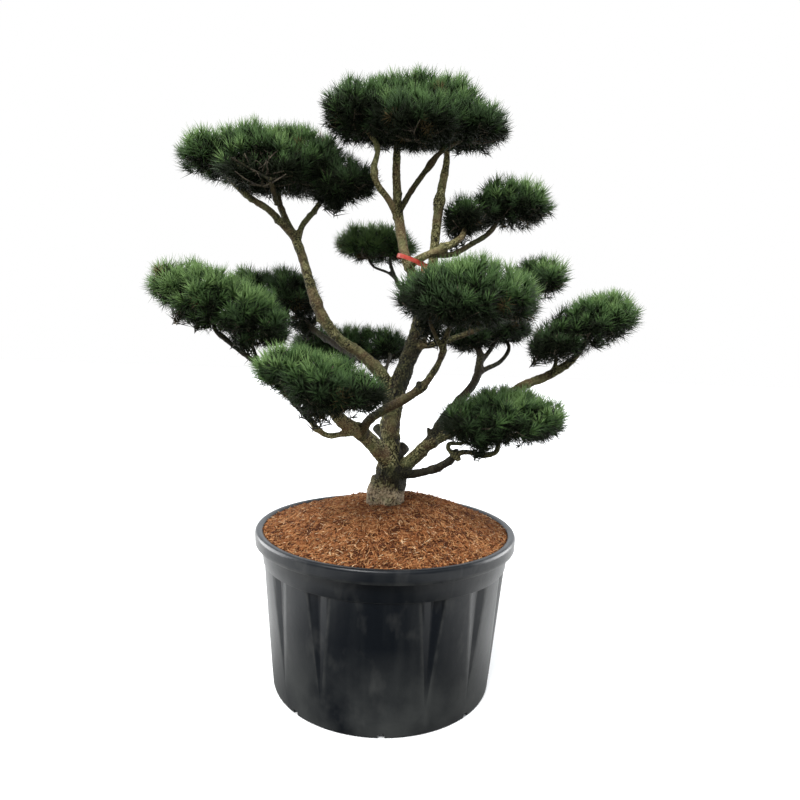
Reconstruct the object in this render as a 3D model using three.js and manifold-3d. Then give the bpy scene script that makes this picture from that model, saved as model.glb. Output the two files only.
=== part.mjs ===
// A cloud-pruned gnom mugo pine in a black nursery pot.
// Millimetres, +Z up. The origin is the middle of the pot's flat underside, and -Y is the tree's front.
import * as THREE from "three";
import { mergeVertices } from "three/addons/utils/BufferGeometryUtils.js";
import Module from "manifold-3d";

const wasm = await Module();
wasm.setup();

// Driving dimensions of the pot
const POT_HEIGHT = 556;
const RIM_RADIUS = 464.5;
const RIM_WIDTH = 28;
const RIM_SKIRT = 44;
const RIM_ROUND = 9;
const NECK_RADIUS = 441;
const FOOT_RADIUS = 394.5;
const FOOT_CHAMFER = 7;
const BAND_HEIGHT = 66;
const BAND_STEP = 3;
const WALL = 12;
const FLOOR = 12;
const POT_SEGMENTS = 60;
const FLUTE_PITCHES = 15;
const FLUTE_DEPTH = 12;
const FLUTE_FOOT = 92;
const FLUTE_TURN = -2.5;
const DRAIN_SLOTS = 8;
const DRAIN_TURN = 2;
const DRAIN_WIDTH = 22;
const DRAIN_HEIGHT = 15;

// The bark mulch that fills the pot, mounded up to the trunk
const MOUND_TOP = 640;
const MOUND_FLAT = 100;
const MOUND_BULGE = 0.7;
const SOIL_EDGE = 544;
const SOIL_SEGMENTS = 30;

// The tree
const CLEAR = 0.3;
const NEEDLE_REACH = 24;
const CORE_DENTS = 9;
const DEEP = NEEDLE_REACH + CORE_DENTS + 10;
const UNDERSIDE = 0.7;
const HUB_DROP = 0.2;
const ENTRY_DEPTH = 24;
const RING_SPACING = 54;
const SAMPLE_SPACING = 15;
const KNOT_SPREAD = 24;
const TRUNK_SIDES = 12;
const BOUGH_SIDES = 8;
const ARM_SIDES = 6;
const ARM_RADIUS = 12;
const FLARE_TOP = 760;
const FLARE_HEIGHT = 120;

// The trunk's line from the flat cut at the mulch to the leader's tip: x, y, z and the radius there
const TRUNK = [
  [-5, 0, MOUND_TOP + CLEAR, 62],
  [-1, -2, 690, 65],
  [11, -4, 724, 59],
  [8, -6, 770, 47],
  [5, -8, 842, 36],
  [4, -7, 940, 35],
  [21, 0, 1048, 34],
  [44, 5, 1113, 31],
  [61, 10, 1186, 23],
  [86, 19, 1285, 19],
  [91, 26, 1370, 18],
  [66, 32, 1454, 18],
  [34, 34, 1530, 18],
  [8, 34, 1660, 18],
  [0, 32, 1715, 16],
  [-7, 20, 1883, 13],
];

// Limbs. Each leaves an earlier one at its line's first point, and its radii are spaced evenly along it.
// A knot is a swelling: its place and how far it stands out.
// A limb that feeds a cloud ends where it enters one of that cloud's lobes.
const LIMBS = {
  low_left_bough: {
    line: [[-2, -12, 800], [-36, -60, 842], [-66, -105, 880], [-99, -150, 916], [-145, -212, 950]],
    radii: [32, 25, 21, 17],
    knots: [[-92, -142, 908, 4]],
    feeds: ["front_left_cloud", 1],
  },
  far_left_bough_inner: {
    line: [[-108, -165, 915], [-150, -203, 911], [-192, -235, 909], [-226, -258, 934], [-245, -262, 958]],
    radii: [13, 10, 9, 9],
  },
  far_left_bough_outer: {
    line: [
      [-245, -262, 958],
      [-338, -225, 1043],
      [-444, -190, 1135],
      [-542, -170, 1204],
      [-580, -165, 1237],
    ],
    radii: [9, 8],
    feeds: ["far_left_cloud", 1],
  },
  far_left_twin: {
    line: [[-416, -198, 1112], [-437, -180, 1148], [-458, -165, 1190]],
    radii: [7, 6],
    feeds: ["far_left_cloud", 2],
  },
  tall_left_bough: {
    line: [
      [10, 0, 992],
      [-13, 5, 1054],
      [-42, 0, 1111],
      [-117, -10, 1176],
      [-186, -20, 1222],
      [-240, -20, 1284],
      [-276, -15, 1356],
      [-330, 6, 1512],
      [-358, 15, 1580],
    ],
    radii: [31, 26, 20, 18, 20, 18, 16, 17],
    knots: [[-260, -20, 1356, 8]],
  },
  upper_left_arm_near: {
    line: [[-350, 14, 1566], [-388, 5, 1605], [-444, -25, 1659], [-512, -40, 1699]],
    radii: [14, 11, 8],
    feeds: ["upper_left_cloud", 0],
  },
  upper_left_arm_middle: {
    line: [[-354, 14, 1572], [-385, 25, 1623], [-417, 35, 1690], [-435, 45, 1759]],
    radii: [13, 9],
    feeds: ["upper_left_cloud", 1],
  },
  upper_left_arm_right: {
    line: [[-348, 14, 1568], [-333, 30, 1623], [-294, 48, 1680], [-276, 56, 1722]],
    radii: [11, 8],
    feeds: ["upper_left_cloud", 2],
  },
  second_leader: {
    line: [
      [48, 6, 1120],
      [81, 16, 1186],
      [110, 23, 1248],
      [126, 24, 1328],
      [133, 17, 1430],
      [137, 8, 1560],
      [148, 12, 1712],
      [168, 22, 1886],
    ],
    radii: [23, 19, 17, 16, 16, 13, 12],
    knots: [[148, 12, 1716, 6]],
    feeds: ["top_cloud", 2],
  },
  top_arm_left: {
    line: [[2, 30, 1668], [-34, -15, 1715], [-72, -48, 1757], [-82, -62, 1794], [-71, -78, 1866]],
    radii: [13, 10, 8],
    knots: [[-80, -62, 1786, 3]],
    feeds: ["top_cloud", 0],
  },
  top_arm_right: {
    line: [[6, 30, 1680], [49, -10, 1745], [101, -32, 1815], [147, -48, 1869]],
    radii: [11, 8],
    knots: [[112, -36, 1828, 4]],
    feeds: ["top_cloud", 3],
  },
  right_high_bough: {
    line: [[45, 30, 1478], [68, -4, 1502], [105, -32, 1520], [154, -42, 1542], [222, -36, 1582]],
    radii: [15, 12, 9],
    knots: [[172, -42, 1552, 3]],
    feeds: ["right_high_cloud", 0],
  },
  right_high_lower_arm: {
    line: [[128, -38, 1524], [194, -28, 1528], [265, 0, 1570], [337, 28, 1625]],
    radii: [10, 9],
    feeds: ["right_high_cloud", 1],
  },
  small_back_bough: {
    line: [[82, 26, 1318], [51, 70, 1375], [3, 165, 1461], [-24, 255, 1546]],
    radii: [9, 7],
    feeds: ["small_back_cloud", 1],
  },
  small_back_arm: {
    line: [[5, 162, 1459], [-29, 205, 1489], [-96, 265, 1525]],
    radii: [6, 5],
    feeds: ["small_back_cloud", 0],
  },
  crossing_bough: {
    line: [
      [-86, -150, 914],
      [-67, -188, 953],
      [-15, -238, 999],
      [47, -278, 1038],
      [98, -298, 1080],
      [140, -308, 1139],
      [163, -312, 1201],
    ],
    radii: [19, 15, 14, 11],
    knots: [[94, -297, 1076, 4]],
  },
  crossing_arm_up: {
    line: [[160, -312, 1188], [166, -314, 1228], [192, -315, 1290]],
    radii: [9, 7],
    feeds: ["centre_right_cloud", 1],
  },
  crossing_arm_left: {
    line: [[160, -312, 1190], [144, -316, 1220], [120, -320, 1270]],
    radii: [7, 6],
    feeds: ["centre_right_cloud", 0],
  },
  right_back_bough: {
    line: [
      [92, 18, 1208],
      [136, 14, 1212],
      [206, 6, 1235],
      [311, 8, 1280],
      [416, 12, 1334],
      [490, 17, 1384],
    ],
    radii: [11, 9, 7],
    feeds: ["right_back_cloud", 0],
  },
  right_bough: {
    line: [
      [38, 2, 750],
      [91, -5, 802],
      [151, -10, 866],
      [238, 10, 910],
      [363, 45, 988],
      [480, 65, 1072],
      [579, 70, 1118],
      [657, 60, 1174],
      [692, 50, 1222],
    ],
    radii: [26, 22, 20, 18, 17, 15, 10],
    knots: [[152, -8, 880, 6]],
    feeds: ["far_right_cloud", 1],
  },
  far_right_arm: {
    line: [[586, 70, 1120], [599, 60, 1154], [600, 50, 1183]],
    radii: [8, 6],
    feeds: ["far_right_cloud", 0],
  },
  low_right_bough: {
    line: [[40, -12, 746], [84, -40, 754], [158, -120, 789], [214, -190, 841], [226, -207, 866]],
    radii: [17, 13, 13],
    knots: [[150, -112, 790, 3]],
  },
  low_right_arm_outer: {
    line: [[218, -203, 860], [258, -233, 871], [316, -258, 868], [344, -268, 881], [349, -270, 905]],
    radii: [9, 8],
    feeds: ["low_right_cloud", 1],
  },
  low_right_arm_inner: {
    line: [[218, -200, 856], [199, -200, 874], [199, -207, 891], [236, -228, 898], [254, -236, 911]],
    radii: [8, 6],
    feeds: ["low_right_cloud", 0],
  },
  dark_back_bough: {
    line: [
      [160, -8, 888],
      [187, 20, 936],
      [261, 80, 1018],
      [317, 130, 1083],
      [334, 160, 1138],
      [338, 190, 1196],
    ],
    radii: [17, 15, 16, 10],
    knots: [[252, 77, 1018, 4]],
    feeds: ["right_back_low_cloud", 0],
  },
  dark_back_arm_right: {
    line: [[328, 147, 1110], [358, 165, 1129], [425, 205, 1164], [460, 240, 1220]],
    radii: [10, 7],
    feeds: ["right_back_low_cloud", 1],
  },
  dark_back_arm_middle: {
    line: [[337, 167, 1150], [359, 186, 1177], [398, 225, 1230]],
    radii: [9, 8],
    feeds: ["right_back_low_cloud", 1],
  },
  back_bough: {
    line: [[4, 0, 1010], [-11, 55, 1047], [-25, 140, 1100], [-18, 215, 1140], [-12, 290, 1168]],
    radii: [10, 7, 7],
    feeds: ["back_cloud", 2],
  },
  back_arm_left: {
    line: [[-25, 155, 1108], [-58, 230, 1140], [-143, 355, 1187]],
    radii: [7, 6],
    feeds: ["back_cloud", 1],
  },
  left_back_bough: {
    line: [[-72, -2, 1143], [-147, 60, 1171], [-308, 190, 1258], [-370, 222, 1312]],
    radii: [14, 10],
    feeds: ["left_back_cloud", 1],
  },
};

// Pruned stubs behind the trunk: start, end and radius
const STUBS = [
  [[22, 4, 806], [58, 45, 838], 22],
  [[-8, 4, 874], [-52, 45, 914], 16],
];

// Clouds of needles. A lobe is a bun: the middle of its dome, then its half sizes along x, y and z.
const CLOUDS = {
  top_cloud: [
    [-140, -50, 1976, 140, 165, 116],
    [5, 50, 2020, 170, 180, 140],
    [140, 50, 2025, 170, 180, 140],
    [257, -30, 1954, 128, 150, 90],
    [50, -130, 1930, 160, 130, 105],
    [70, 160, 2050, 185, 120, 120],
  ],
  upper_left_cloud: [
    [-645, 0, 1840, 130, 140, 100],
    [-485, 50, 1844, 165, 170, 140],
    [-320, 60, 1830, 150, 170, 145],
    [-172, 20, 1775, 114, 125, 88],
    [-450, -90, 1775, 150, 110, 100],
  ],
  small_back_cloud: [
    [-125, 300, 1615, 130, 125, 90],
    [-5, 320, 1608, 95, 110, 74],
  ],
  right_high_cloud: [
    [245, 10, 1665, 88, 110, 86],
    [375, 50, 1724, 110, 130, 105],
    [465, 40, 1720, 98, 125, 98],
  ],
  centre_right_cloud: [
    [104, -320, 1356, 108, 135, 98],
    [240, -315, 1365, 125, 155, 125],
    [360, -280, 1355, 110, 140, 105],
    [200, -405, 1325, 115, 90, 80],
  ],
  right_back_cloud: [
    [545, 20, 1462, 88, 105, 92],
    [492, 100, 1465, 85, 95, 92],
  ],
  right_back_low_cloud: [
    [290, 260, 1245, 115, 120, 85],
    [425, 280, 1285, 145, 150, 110],
  ],
  far_right_cloud: [
    [600, 40, 1240, 110, 112, 92],
    [708, 40, 1308, 125, 135, 115],
    [800, 40, 1346, 95, 115, 95],
  ],
  low_right_cloud: [
    [240, -240, 975, 88, 110, 80],
    [350, -260, 990, 110, 130, 110],
    [463, -250, 985, 98, 120, 93],
    [385, -170, 990, 120, 90, 95],
  ],
  front_left_cloud: [
    [-313, -360, 1122, 103, 120, 85],
    [-195, -380, 1075, 110, 130, 105],
    [-85, -370, 1060, 92, 115, 82],
    [-215, -290, 1085, 110, 90, 90],
  ],
  far_left_cloud: [
    [-703, -160, 1378, 110, 125, 93],
    [-590, -160, 1341, 115, 145, 115],
    [-480, -150, 1288, 115, 135, 110],
    [-395, -150, 1245, 70, 92, 78],
  ],
  left_back_cloud: [
    [-570, 240, 1420, 105, 115, 95],
    [-420, 240, 1380, 140, 145, 140],
  ],
  back_cloud: [
    [-320, 400, 1205, 125, 115, 95],
    [-180, 420, 1205, 130, 130, 100],
    [-25, 420, 1205, 105, 115, 95],
  ],
};

// The dense middle of a lobe, and the wood inside a cloud
const CORE_SIDES = 7;
const CORE_RINGS = 4;
const TWIG_RADIUS = 7;
const TWIG_SIDES = 3;
const STEM_SIDES = 5;
const STEM_SHARE = 0.85;

// Sprays of needles: a toothed blade each. The outline is in shares of its width and length, root first.
const SPRAY_LENGTH = 72;
const SPRAY_WIDTH = 96;
const SPRAY_THICKNESS = 8;
const SPRAY_OUTLINE = [
  [0, 0],
  [0.5, 0.84],
  [0.17, 0.7],
  [0, 1],
  [-0.17, 0.7],
  [-0.5, 0.84],
];
const SPRAY_TIPS = [1, 3, 5];
const SPRAY_MIDDLE = 0.6;
const SPRAYS_PER_M2 = 25;
const SPRAY_DENTS = 8;
const SPRAY_SLANT = 0.6;
const LOWEST_SPRAY = -0.5;
const GOLDEN_ANGLE = Math.PI * (3 - Math.sqrt(5));

// A spray that roots this deep in a neighbouring lobe is left out, and its tips stay clear of the rest
const HIDDEN_DEPTH = 20;
const CLOUD_CLEAR = 4;
const LIMB_CLEAR = 6;

// The tape that ties the leader to the high bough: its hole's half sizes, its section, place and lean
const TAPE_HALF_ACROSS = 56;
const TAPE_HALF_DEPTH = 42;
const TAPE_THICKNESS = 4;
const TAPE_WIDTH = 12;
const TAPE_MIDDLE = [60, 12, 1502];
const TAPE_LEAN = 0.3;
const TAPE_TILT = 0.1;

const MATERIALS = {
  bark: new THREE.MeshStandardMaterial({ color: "#5d5237", roughness: 0.95, metalness: 0 }),
  needles: new THREE.MeshStandardMaterial({ color: "#2f5a2b", roughness: 0.7, metalness: 0 }),
  pot: new THREE.MeshStandardMaterial({ color: "#25292d", roughness: 0.45, metalness: 0 }),
  mulch: new THREE.MeshStandardMaterial({ color: "#8a5230", roughness: 1, metalness: 0 }),
  tape: new THREE.MeshStandardMaterial({ color: "#e2402c", roughness: 0.4, metalness: 0 }),
};

// A repeatable number from 0 to 1 for a seed and a count.
function chance(seed, count) {
  const value = Math.sin(seed * 127.1 + count * 311.7) * 43758.5453;
  return value - Math.floor(value);
}

// A closed geometry as a solid.
function solid(geometry) {
  const bare = geometry.clone();
  bare.deleteAttribute("normal");
  bare.deleteAttribute("uv");
  const merged = mergeVertices(bare, 1e-4);
  const mesh = new wasm.Mesh({
    numProp: 3,
    vertProperties: new Float32Array(merged.attributes.position.array),
    triVerts: new Uint32Array(merged.index.array),
  });
  return new wasm.Manifold(mesh);
}

// The largest body of a solid as a named mesh.
function part(name, body, material) {
  const largest = body.decompose().sort((a, b) => b.volume() - a.volume())[0];
  const mesh = largest.getMesh();
  const geometry = new THREE.BufferGeometry();
  const positions = new Float32Array(mesh.vertProperties);
  geometry.setAttribute("position", new THREE.BufferAttribute(positions, 3));
  geometry.setIndex(new THREE.BufferAttribute(new Uint32Array(mesh.triVerts), 1));
  const shown = geometry.toNonIndexed();
  shown.computeVertexNormals();
  const result = new THREE.Mesh(shown, material);
  result.name = name;
  return result;
}

// A closed surface through rings of points of equal count, with a flat cap at each end.
function loft(rings) {
  const sides = rings[0].length;
  const positions = rings.flat().flatMap((point) => point.toArray());
  const faces = [];
  for (let ring = 0; ring < rings.length - 1; ring++) {
    for (let side = 0; side < sides; side++) {
      const a = ring * sides + side;
      const b = ring * sides + ((side + 1) % sides);
      faces.push(a, b, b + sides, a, b + sides, a + sides);
    }
  }
  const last = (rings.length - 1) * sides;
  for (let side = 1; side < sides - 1; side++) {
    faces.push(0, side + 1, side, last, last + side, last + side + 1);
  }
  const geometry = new THREE.BufferGeometry();
  geometry.setAttribute("position", new THREE.Float32BufferAttribute(positions, 3));
  geometry.setIndex(faces);
  return geometry;
}

// A limb's place: its smooth line, its radius along it and its swellings.
class Limb {
  constructor({ name, line, radiusAlong, knots = [], sides = BOUGH_SIDES, flare = null, foot = null }) {
    this.name = name;
    const points = line.map((point) => new THREE.Vector3(...point));
    this.curve = new THREE.CatmullRomCurve3(points, false, "centripetal");
    this.radiusAlong = radiusAlong;
    this.knots = knots;
    this.sides = sides;
    this.flare = flare;
    this.foot = foot;
    this.length = this.curve.getLength();
    this.end = 1;
  }

  radiusAt(t) {
    const centre = this.curve.getPointAt(t);
    const swelling = this.knots.reduce((sum, [x, y, z, height]) => {
      const spread = centre.distanceTo(new THREE.Vector3(x, y, z)) / KNOT_SPREAD;
      return sum + height * Math.exp(-spread * spread);
    }, 0);
    return this.radiusAlong(t, this.curve) + swelling;
  }

  // The solid between two places along the limb, made wider and longer by a clearance.
  body(from, to, grow = 0) {
    const count = Math.max(2, Math.round(((to - from) * this.length) / RING_SPACING));
    const across = new THREE.Vector3(1, 0, 0);
    const rings = [];
    for (let step = 0; step <= count; step++) {
      const t = from + ((to - from) * step) / count;
      const centre = this.curve.getPointAt(t);
      const tangent = this.curve.getTangentAt(t);
      if (this.foot && step === 0) tangent.copy(this.foot);
      across.addScaledVector(tangent, -across.dot(tangent)).normalize();
      const up = tangent.clone().cross(across);
      if (step === count) centre.addScaledVector(tangent, grow);
      const ring = [];
      for (let side = 0; side < this.sides; side++) {
        const angle = (2 * Math.PI * side) / this.sides;
        const flare = this.flare ? this.flare(centre.z, angle) : 1;
        const radius = this.radiusAt(t) * flare + grow;
        const point = centre.clone().addScaledVector(across, radius * Math.cos(angle));
        ring.push(point.addScaledVector(up, radius * Math.sin(angle)));
      }
      rings.push(ring);
    }
    return solid(loft(rings));
  }
}

// A list of radii that are spaced evenly along a limb's length.
function spacedEvenly(radii) {
  return (t) => {
    const place = t * (radii.length - 1);
    const low = Math.min(Math.floor(place), radii.length - 2);
    return THREE.MathUtils.lerp(radii[low], radii[low + 1], place - low);
  };
}

// A list of radii, one at each point of a limb's line. Past the last one the radius stays as it is.
function onePerPoint(radii, points) {
  return (t, curve) => {
    const place = curve.getUtoTmapping(t) * (points - 1);
    const low = Math.min(Math.floor(place), radii.length - 1);
    const high = Math.min(low + 1, radii.length - 1);
    return THREE.MathUtils.lerp(radii[low], radii[high], place - low);
  };
}

// A lobe's half sizes towards a height, less a margin: its underside is flatter than its dome.
function halfSizes(lobe, z, margin) {
  const tall = lobe[5] * (z < lobe[2] ? UNDERSIDE : 1);
  return [lobe[3] - margin, lobe[4] - margin, tall - margin];
}

// Whether a point lies in a lobe that is made smaller by a margin.
function inLobe(point, lobe, margin) {
  const [rx, ry, rz] = halfSizes(lobe, point.z, margin);
  const x = (point.x - lobe[0]) / rx;
  const y = (point.y - lobe[1]) / ry;
  const z = (point.z - lobe[2]) / rz;
  return x * x + y * y + z * z < 1;
}

// The place in a lobe where its stem ends and its twigs begin.
function hub(lobe) {
  return new THREE.Vector3(lobe[0], lobe[1], lobe[2] - HUB_DROP * lobe[5]);
}

// A point of a lobe's surface in a direction, and the outward direction there.
function surfacePoint(lobe, direction, margin) {
  const half = new THREE.Vector3(...halfSizes(lobe, lobe[2] + direction.z, margin));
  const point = new THREE.Vector3(lobe[0], lobe[1], lobe[2]).add(half.clone().multiply(direction));
  const outward = direction.clone().divide(half).normalize();
  return { point, outward };
}

// The dense middle of a lobe: a faceted bun inside the reach of its needles, ring by ring from its top.
function core(lobe, seed) {
  const rings = [];
  for (let ring = 0; ring < CORE_RINGS; ring++) {
    const points = [];
    for (let side = 0; side < CORE_SIDES; side++) {
      const tilt = (Math.PI * (ring + 0.5)) / CORE_RINGS;
      const turn = (2 * Math.PI * (side + 0.5 * (ring % 2))) / CORE_SIDES + seed;
      const direction = new THREE.Vector3().setFromSphericalCoords(1, tilt, turn);
      direction.set(direction.x, direction.z, direction.y);
      const dent = NEEDLE_REACH + CORE_DENTS * chance(seed, ring * CORE_SIDES + side);
      points.push(surfacePoint(lobe, direction, dent).point);
    }
    rings.push(points);
  }
  return solid(loft(rings));
}

// A straight three-sided twig between two points.
function twig(start, end, radius) {
  const line = [start.toArray(), end.toArray()];
  const straight = new Limb({ name: "twig", line, radiusAlong: () => radius, sides: TWIG_SIDES });
  return straight.body(0, 1);
}

// The stem that carries a mass: it starts a hair past its limb's tip and ends at the lobe's hub.
function stem(limb, lobe) {
  const foot = limb.curve.getTangentAt(limb.end);
  const start = limb.curve.getPointAt(limb.end).addScaledVector(foot, 1.1 * CLEAR);
  const line = [start.toArray(), hub(lobe).toArray()];
  const radius = STEM_SHARE * limb.radiusAt(limb.end);
  const straight = new Limb({ name: "stem", line, radiusAlong: () => radius, sides: STEM_SIDES, foot });
  return straight.body(0, 1);
}

// One spray: a thin blade with three teeth, from its sunk root along a direction.
function spray(root, direction, across, size) {
  const normal = across.clone().cross(direction).normalize();
  const at = (side, along) =>
    root
      .clone()
      .addScaledVector(across, side * SPRAY_WIDTH * size)
      .addScaledVector(direction, along * SPRAY_LENGTH * size);
  const points = SPRAY_OUTLINE.map(([side, along]) => at(side, along));
  const tips = SPRAY_TIPS.map((tip) => points[tip]);
  const front = points.push(at(0, SPRAY_MIDDLE).addScaledVector(normal, SPRAY_THICKNESS / 2)) - 1;
  const back = points.push(at(0, SPRAY_MIDDLE).addScaledVector(normal, -SPRAY_THICKNESS / 2)) - 1;
  const faces = [];
  for (let i = 0; i < SPRAY_OUTLINE.length; i++) {
    const next = (i + 1) % SPRAY_OUTLINE.length;
    faces.push(i, next, front, next, i, back);
  }
  const geometry = new THREE.BufferGeometry();
  const positions = points.flatMap((point) => point.toArray());
  geometry.setAttribute("position", new THREE.Float32BufferAttribute(positions, 3));
  geometry.setIndex(faces);
  return { body: solid(geometry), tips };
}

// Whether a point is nearer to any limb than a clearance.
function nearLimb(point, limbs, clearance) {
  const near = (sample) => sample.point.distanceTo(point) < sample.radius + clearance;
  return limbs.some((limb) => limb.samples.some(near));
}

// One cloud of needles: its stems, twigs from hub to hub, a core in each lobe, and sprays out of them.
function cloud(name, seed, limbs) {
  const lobes = CLOUDS[name];
  const others = Object.keys(CLOUDS)
    .filter((other) => other !== name)
    .flatMap((other) => CLOUDS[other]);
  const pieces = lobes.map((lobe, index) => core(lobe, seed + index));
  const stems = limbs.filter((limb) => limb.feeds && limb.feeds[0] === name);
  stems.forEach((limb) => pieces.push(stem(limb, lobes[limb.feeds[1]])));
  for (let index = 1; index < lobes.length; index++) {
    const [here, there] = [lobes[index - 1], lobes[index]];
    const middle = hub(here).lerp(hub(there), 0.5);
    const apart = !inLobe(middle, here, DEEP) && !inLobe(middle, there, DEEP);
    if (apart) pieces.push(twig(hub(here), hub(there), TWIG_RADIUS));
  }
  lobes.forEach((lobe, index) => {
    const area = 4 * Math.PI * lobe[3] * lobe[4] * 1e-6;
    const count = Math.round(area * SPRAYS_PER_M2);
    for (let i = 0; i < count; i++) {
      const turn = i * GOLDEN_ANGLE + seed + index;
      const rise = 1 - ((i + 0.5) / count) * (1 - LOWEST_SPRAY);
      const flat = Math.sqrt(1 - rise * rise);
      const direction = new THREE.Vector3(flat * Math.cos(turn), flat * Math.sin(turn), rise);
      const { point, outward } = surfacePoint(lobe, direction, SPRAY_DENTS * chance(seed + index, i));
      const slant = SPRAY_SLANT * (chance(seed + index, i + 500) - 0.5);
      const across = new THREE.Vector3(-outward.y, outward.x, slant);
      across.addScaledVector(outward, -across.dot(outward)).normalize();
      const size = 0.9 + 0.2 * chance(seed + index, i + 900);
      const root = point.clone().addScaledVector(outward, -SPRAY_LENGTH * size);
      const { body, tips } = spray(root, outward, across, size);
      const hidden = lobes.some((other) => other !== lobe && inLobe(point, other, HIDDEN_DEPTH));
      const astray = tips.some((tip) => others.some((other) => inLobe(tip, other, -CLOUD_CLEAR)));
      if (!hidden && !astray && !tips.some((tip) => nearLimb(tip, limbs, LIMB_CLEAR))) pieces.push(body);
    }
  });
  return wasm.Manifold.union(pieces);
}

// The pot's outer radius at a height.
function wallRadius(z) {
  const bandFoot = POT_HEIGHT - RIM_SKIRT - BAND_HEIGHT;
  const slope = (NECK_RADIUS - FOOT_RADIUS) / (POT_HEIGHT - RIM_SKIRT);
  return FOOT_RADIUS + slope * z - (z > bandFoot ? 0 : BAND_STEP);
}

// The pot's inner wall, from the floor up to the rim: radius and height.
const INNER_WALL = [
  [wallRadius(FLOOR) - WALL, FLOOR],
  [NECK_RADIUS - WALL, POT_HEIGHT - RIM_SKIRT + 8],
  [RIM_RADIUS - RIM_WIDTH, POT_HEIGHT - 7],
];

// A closed profile of radius and height, turned round the pot's axis.
function turned(profile, segments) {
  const geometry = new THREE.LatheGeometry(
    profile.map(([radius, z]) => new THREE.Vector2(radius, z)),
    segments,
  );
  return geometry.rotateX(Math.PI / 2);
}

// The pot: a shell with a rolled rim, V flutes all round but at the front, and drain slots at its foot.
function pot() {
  const neck = POT_HEIGHT - RIM_SKIRT;
  const fluteTop = neck - BAND_HEIGHT - 3;
  const profile = [
    [0, 0],
    [FOOT_RADIUS - BAND_STEP - FOOT_CHAMFER, 0],
    [FOOT_RADIUS - BAND_STEP, FOOT_CHAMFER],
    [wallRadius(FLUTE_FOOT), FLUTE_FOOT],
    [wallRadius(fluteTop), fluteTop],
    [wallRadius(neck - BAND_HEIGHT + 1), neck - BAND_HEIGHT + 1],
    [NECK_RADIUS, neck],
    [RIM_RADIUS - RIM_ROUND, neck + 24],
    [RIM_RADIUS - 3, neck],
    [RIM_RADIUS, POT_HEIGHT - RIM_ROUND],
    [RIM_RADIUS - RIM_ROUND, POT_HEIGHT],
    ...[...INNER_WALL].reverse(),
    [0, FLOOR],
  ];
  const shell = turned(profile, POT_SEGMENTS);
  const place = shell.getAttribute("position");
  for (let i = 0; i < place.count; i++) {
    const [x, y, z] = [place.getX(i), place.getY(i), place.getZ(i)];
    const radius = Math.hypot(x, y);
    const pitch = ((Math.atan2(x, -y) / (2 * Math.PI) + 1) % 1) * FLUTE_PITCHES;
    const atFlute = Math.abs(pitch - Math.round(pitch)) < 0.05 && Math.round(pitch) % FLUTE_PITCHES !== 0;
    if (atFlute && Math.abs(z - fluteTop) < 1 && radius > wallRadius(z) - 1) {
      const share = (radius - FLUTE_DEPTH) / radius;
      place.setXYZ(i, x * share, y * share, z);
    }
  }
  shell.rotateZ(THREE.MathUtils.degToRad(FLUTE_TURN));
  let body = solid(shell);
  for (let i = 0; i < DRAIN_SLOTS; i++) {
    const slot = new THREE.BoxGeometry(DRAIN_WIDTH, 4 * WALL, 2 * DRAIN_HEIGHT);
    slot.translate(0, BAND_STEP - FOOT_RADIUS, 0);
    slot.rotateZ(THREE.MathUtils.degToRad(DRAIN_TURN + (360 * i) / DRAIN_SLOTS));
    body = body.subtract(solid(slot));
  }
  return body;
}

// The mulch: a plug that stands on the pot's floor, mounded round the flat place where the trunk stands.
function mulch() {
  const gap = 2 * CLEAR;
  const [foot, neck, lip] = INNER_WALL;
  const rise = (SOIL_EDGE - neck[1]) / (lip[1] - neck[1]);
  const edge = THREE.MathUtils.lerp(neck[0], lip[0], rise) - gap;
  const profile = [
    [0, FLOOR + CLEAR],
    [foot[0] - gap, FLOOR + CLEAR],
    [neck[0] - gap, neck[1]],
    [edge, SOIL_EDGE],
  ];
  for (const share of [0.25, 0.5, 0.75]) {
    const lift = 0.5 - 0.5 * Math.cos(Math.PI * share ** MOUND_BULGE);
    const radius = THREE.MathUtils.lerp(edge, MOUND_FLAT, share);
    profile.push([radius, THREE.MathUtils.lerp(SOIL_EDGE, MOUND_TOP, lift)]);
  }
  profile.push([MOUND_FLAT, MOUND_TOP], [0, MOUND_TOP]);
  return solid(turned(profile, SOIL_SEGMENTS));
}

// The tape that ties the leader to the high bough beside it: a flat oval band round both.
function tape() {
  const oval = (grow) => {
    const [across, deep] = [TAPE_HALF_ACROSS + grow, TAPE_HALF_DEPTH + grow];
    return new THREE.Shape().absellipse(0, 0, across, deep, 0, 2 * Math.PI);
  };
  const ring = oval(TAPE_THICKNESS);
  ring.holes.push(oval(0));
  const options = { depth: TAPE_WIDTH, bevelEnabled: false, curveSegments: 8 };
  const geometry = new THREE.ExtrudeGeometry(ring, options);
  geometry.rotateY(TAPE_LEAN);
  geometry.rotateX(TAPE_TILT);
  geometry.translate(...TAPE_MIDDLE);
  return solid(geometry);
}

// The burl and root flare: broad ribs at the trunk's foot that fade out with height.
function rootFlare(z, angle) {
  const fade = THREE.MathUtils.clamp((FLARE_TOP - z) / FLARE_HEIGHT, 0, 1);
  return 1 + fade * (0.07 * Math.cos(3 * angle + 2.4) + 0.05 * Math.cos(5 * angle));
}

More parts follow.
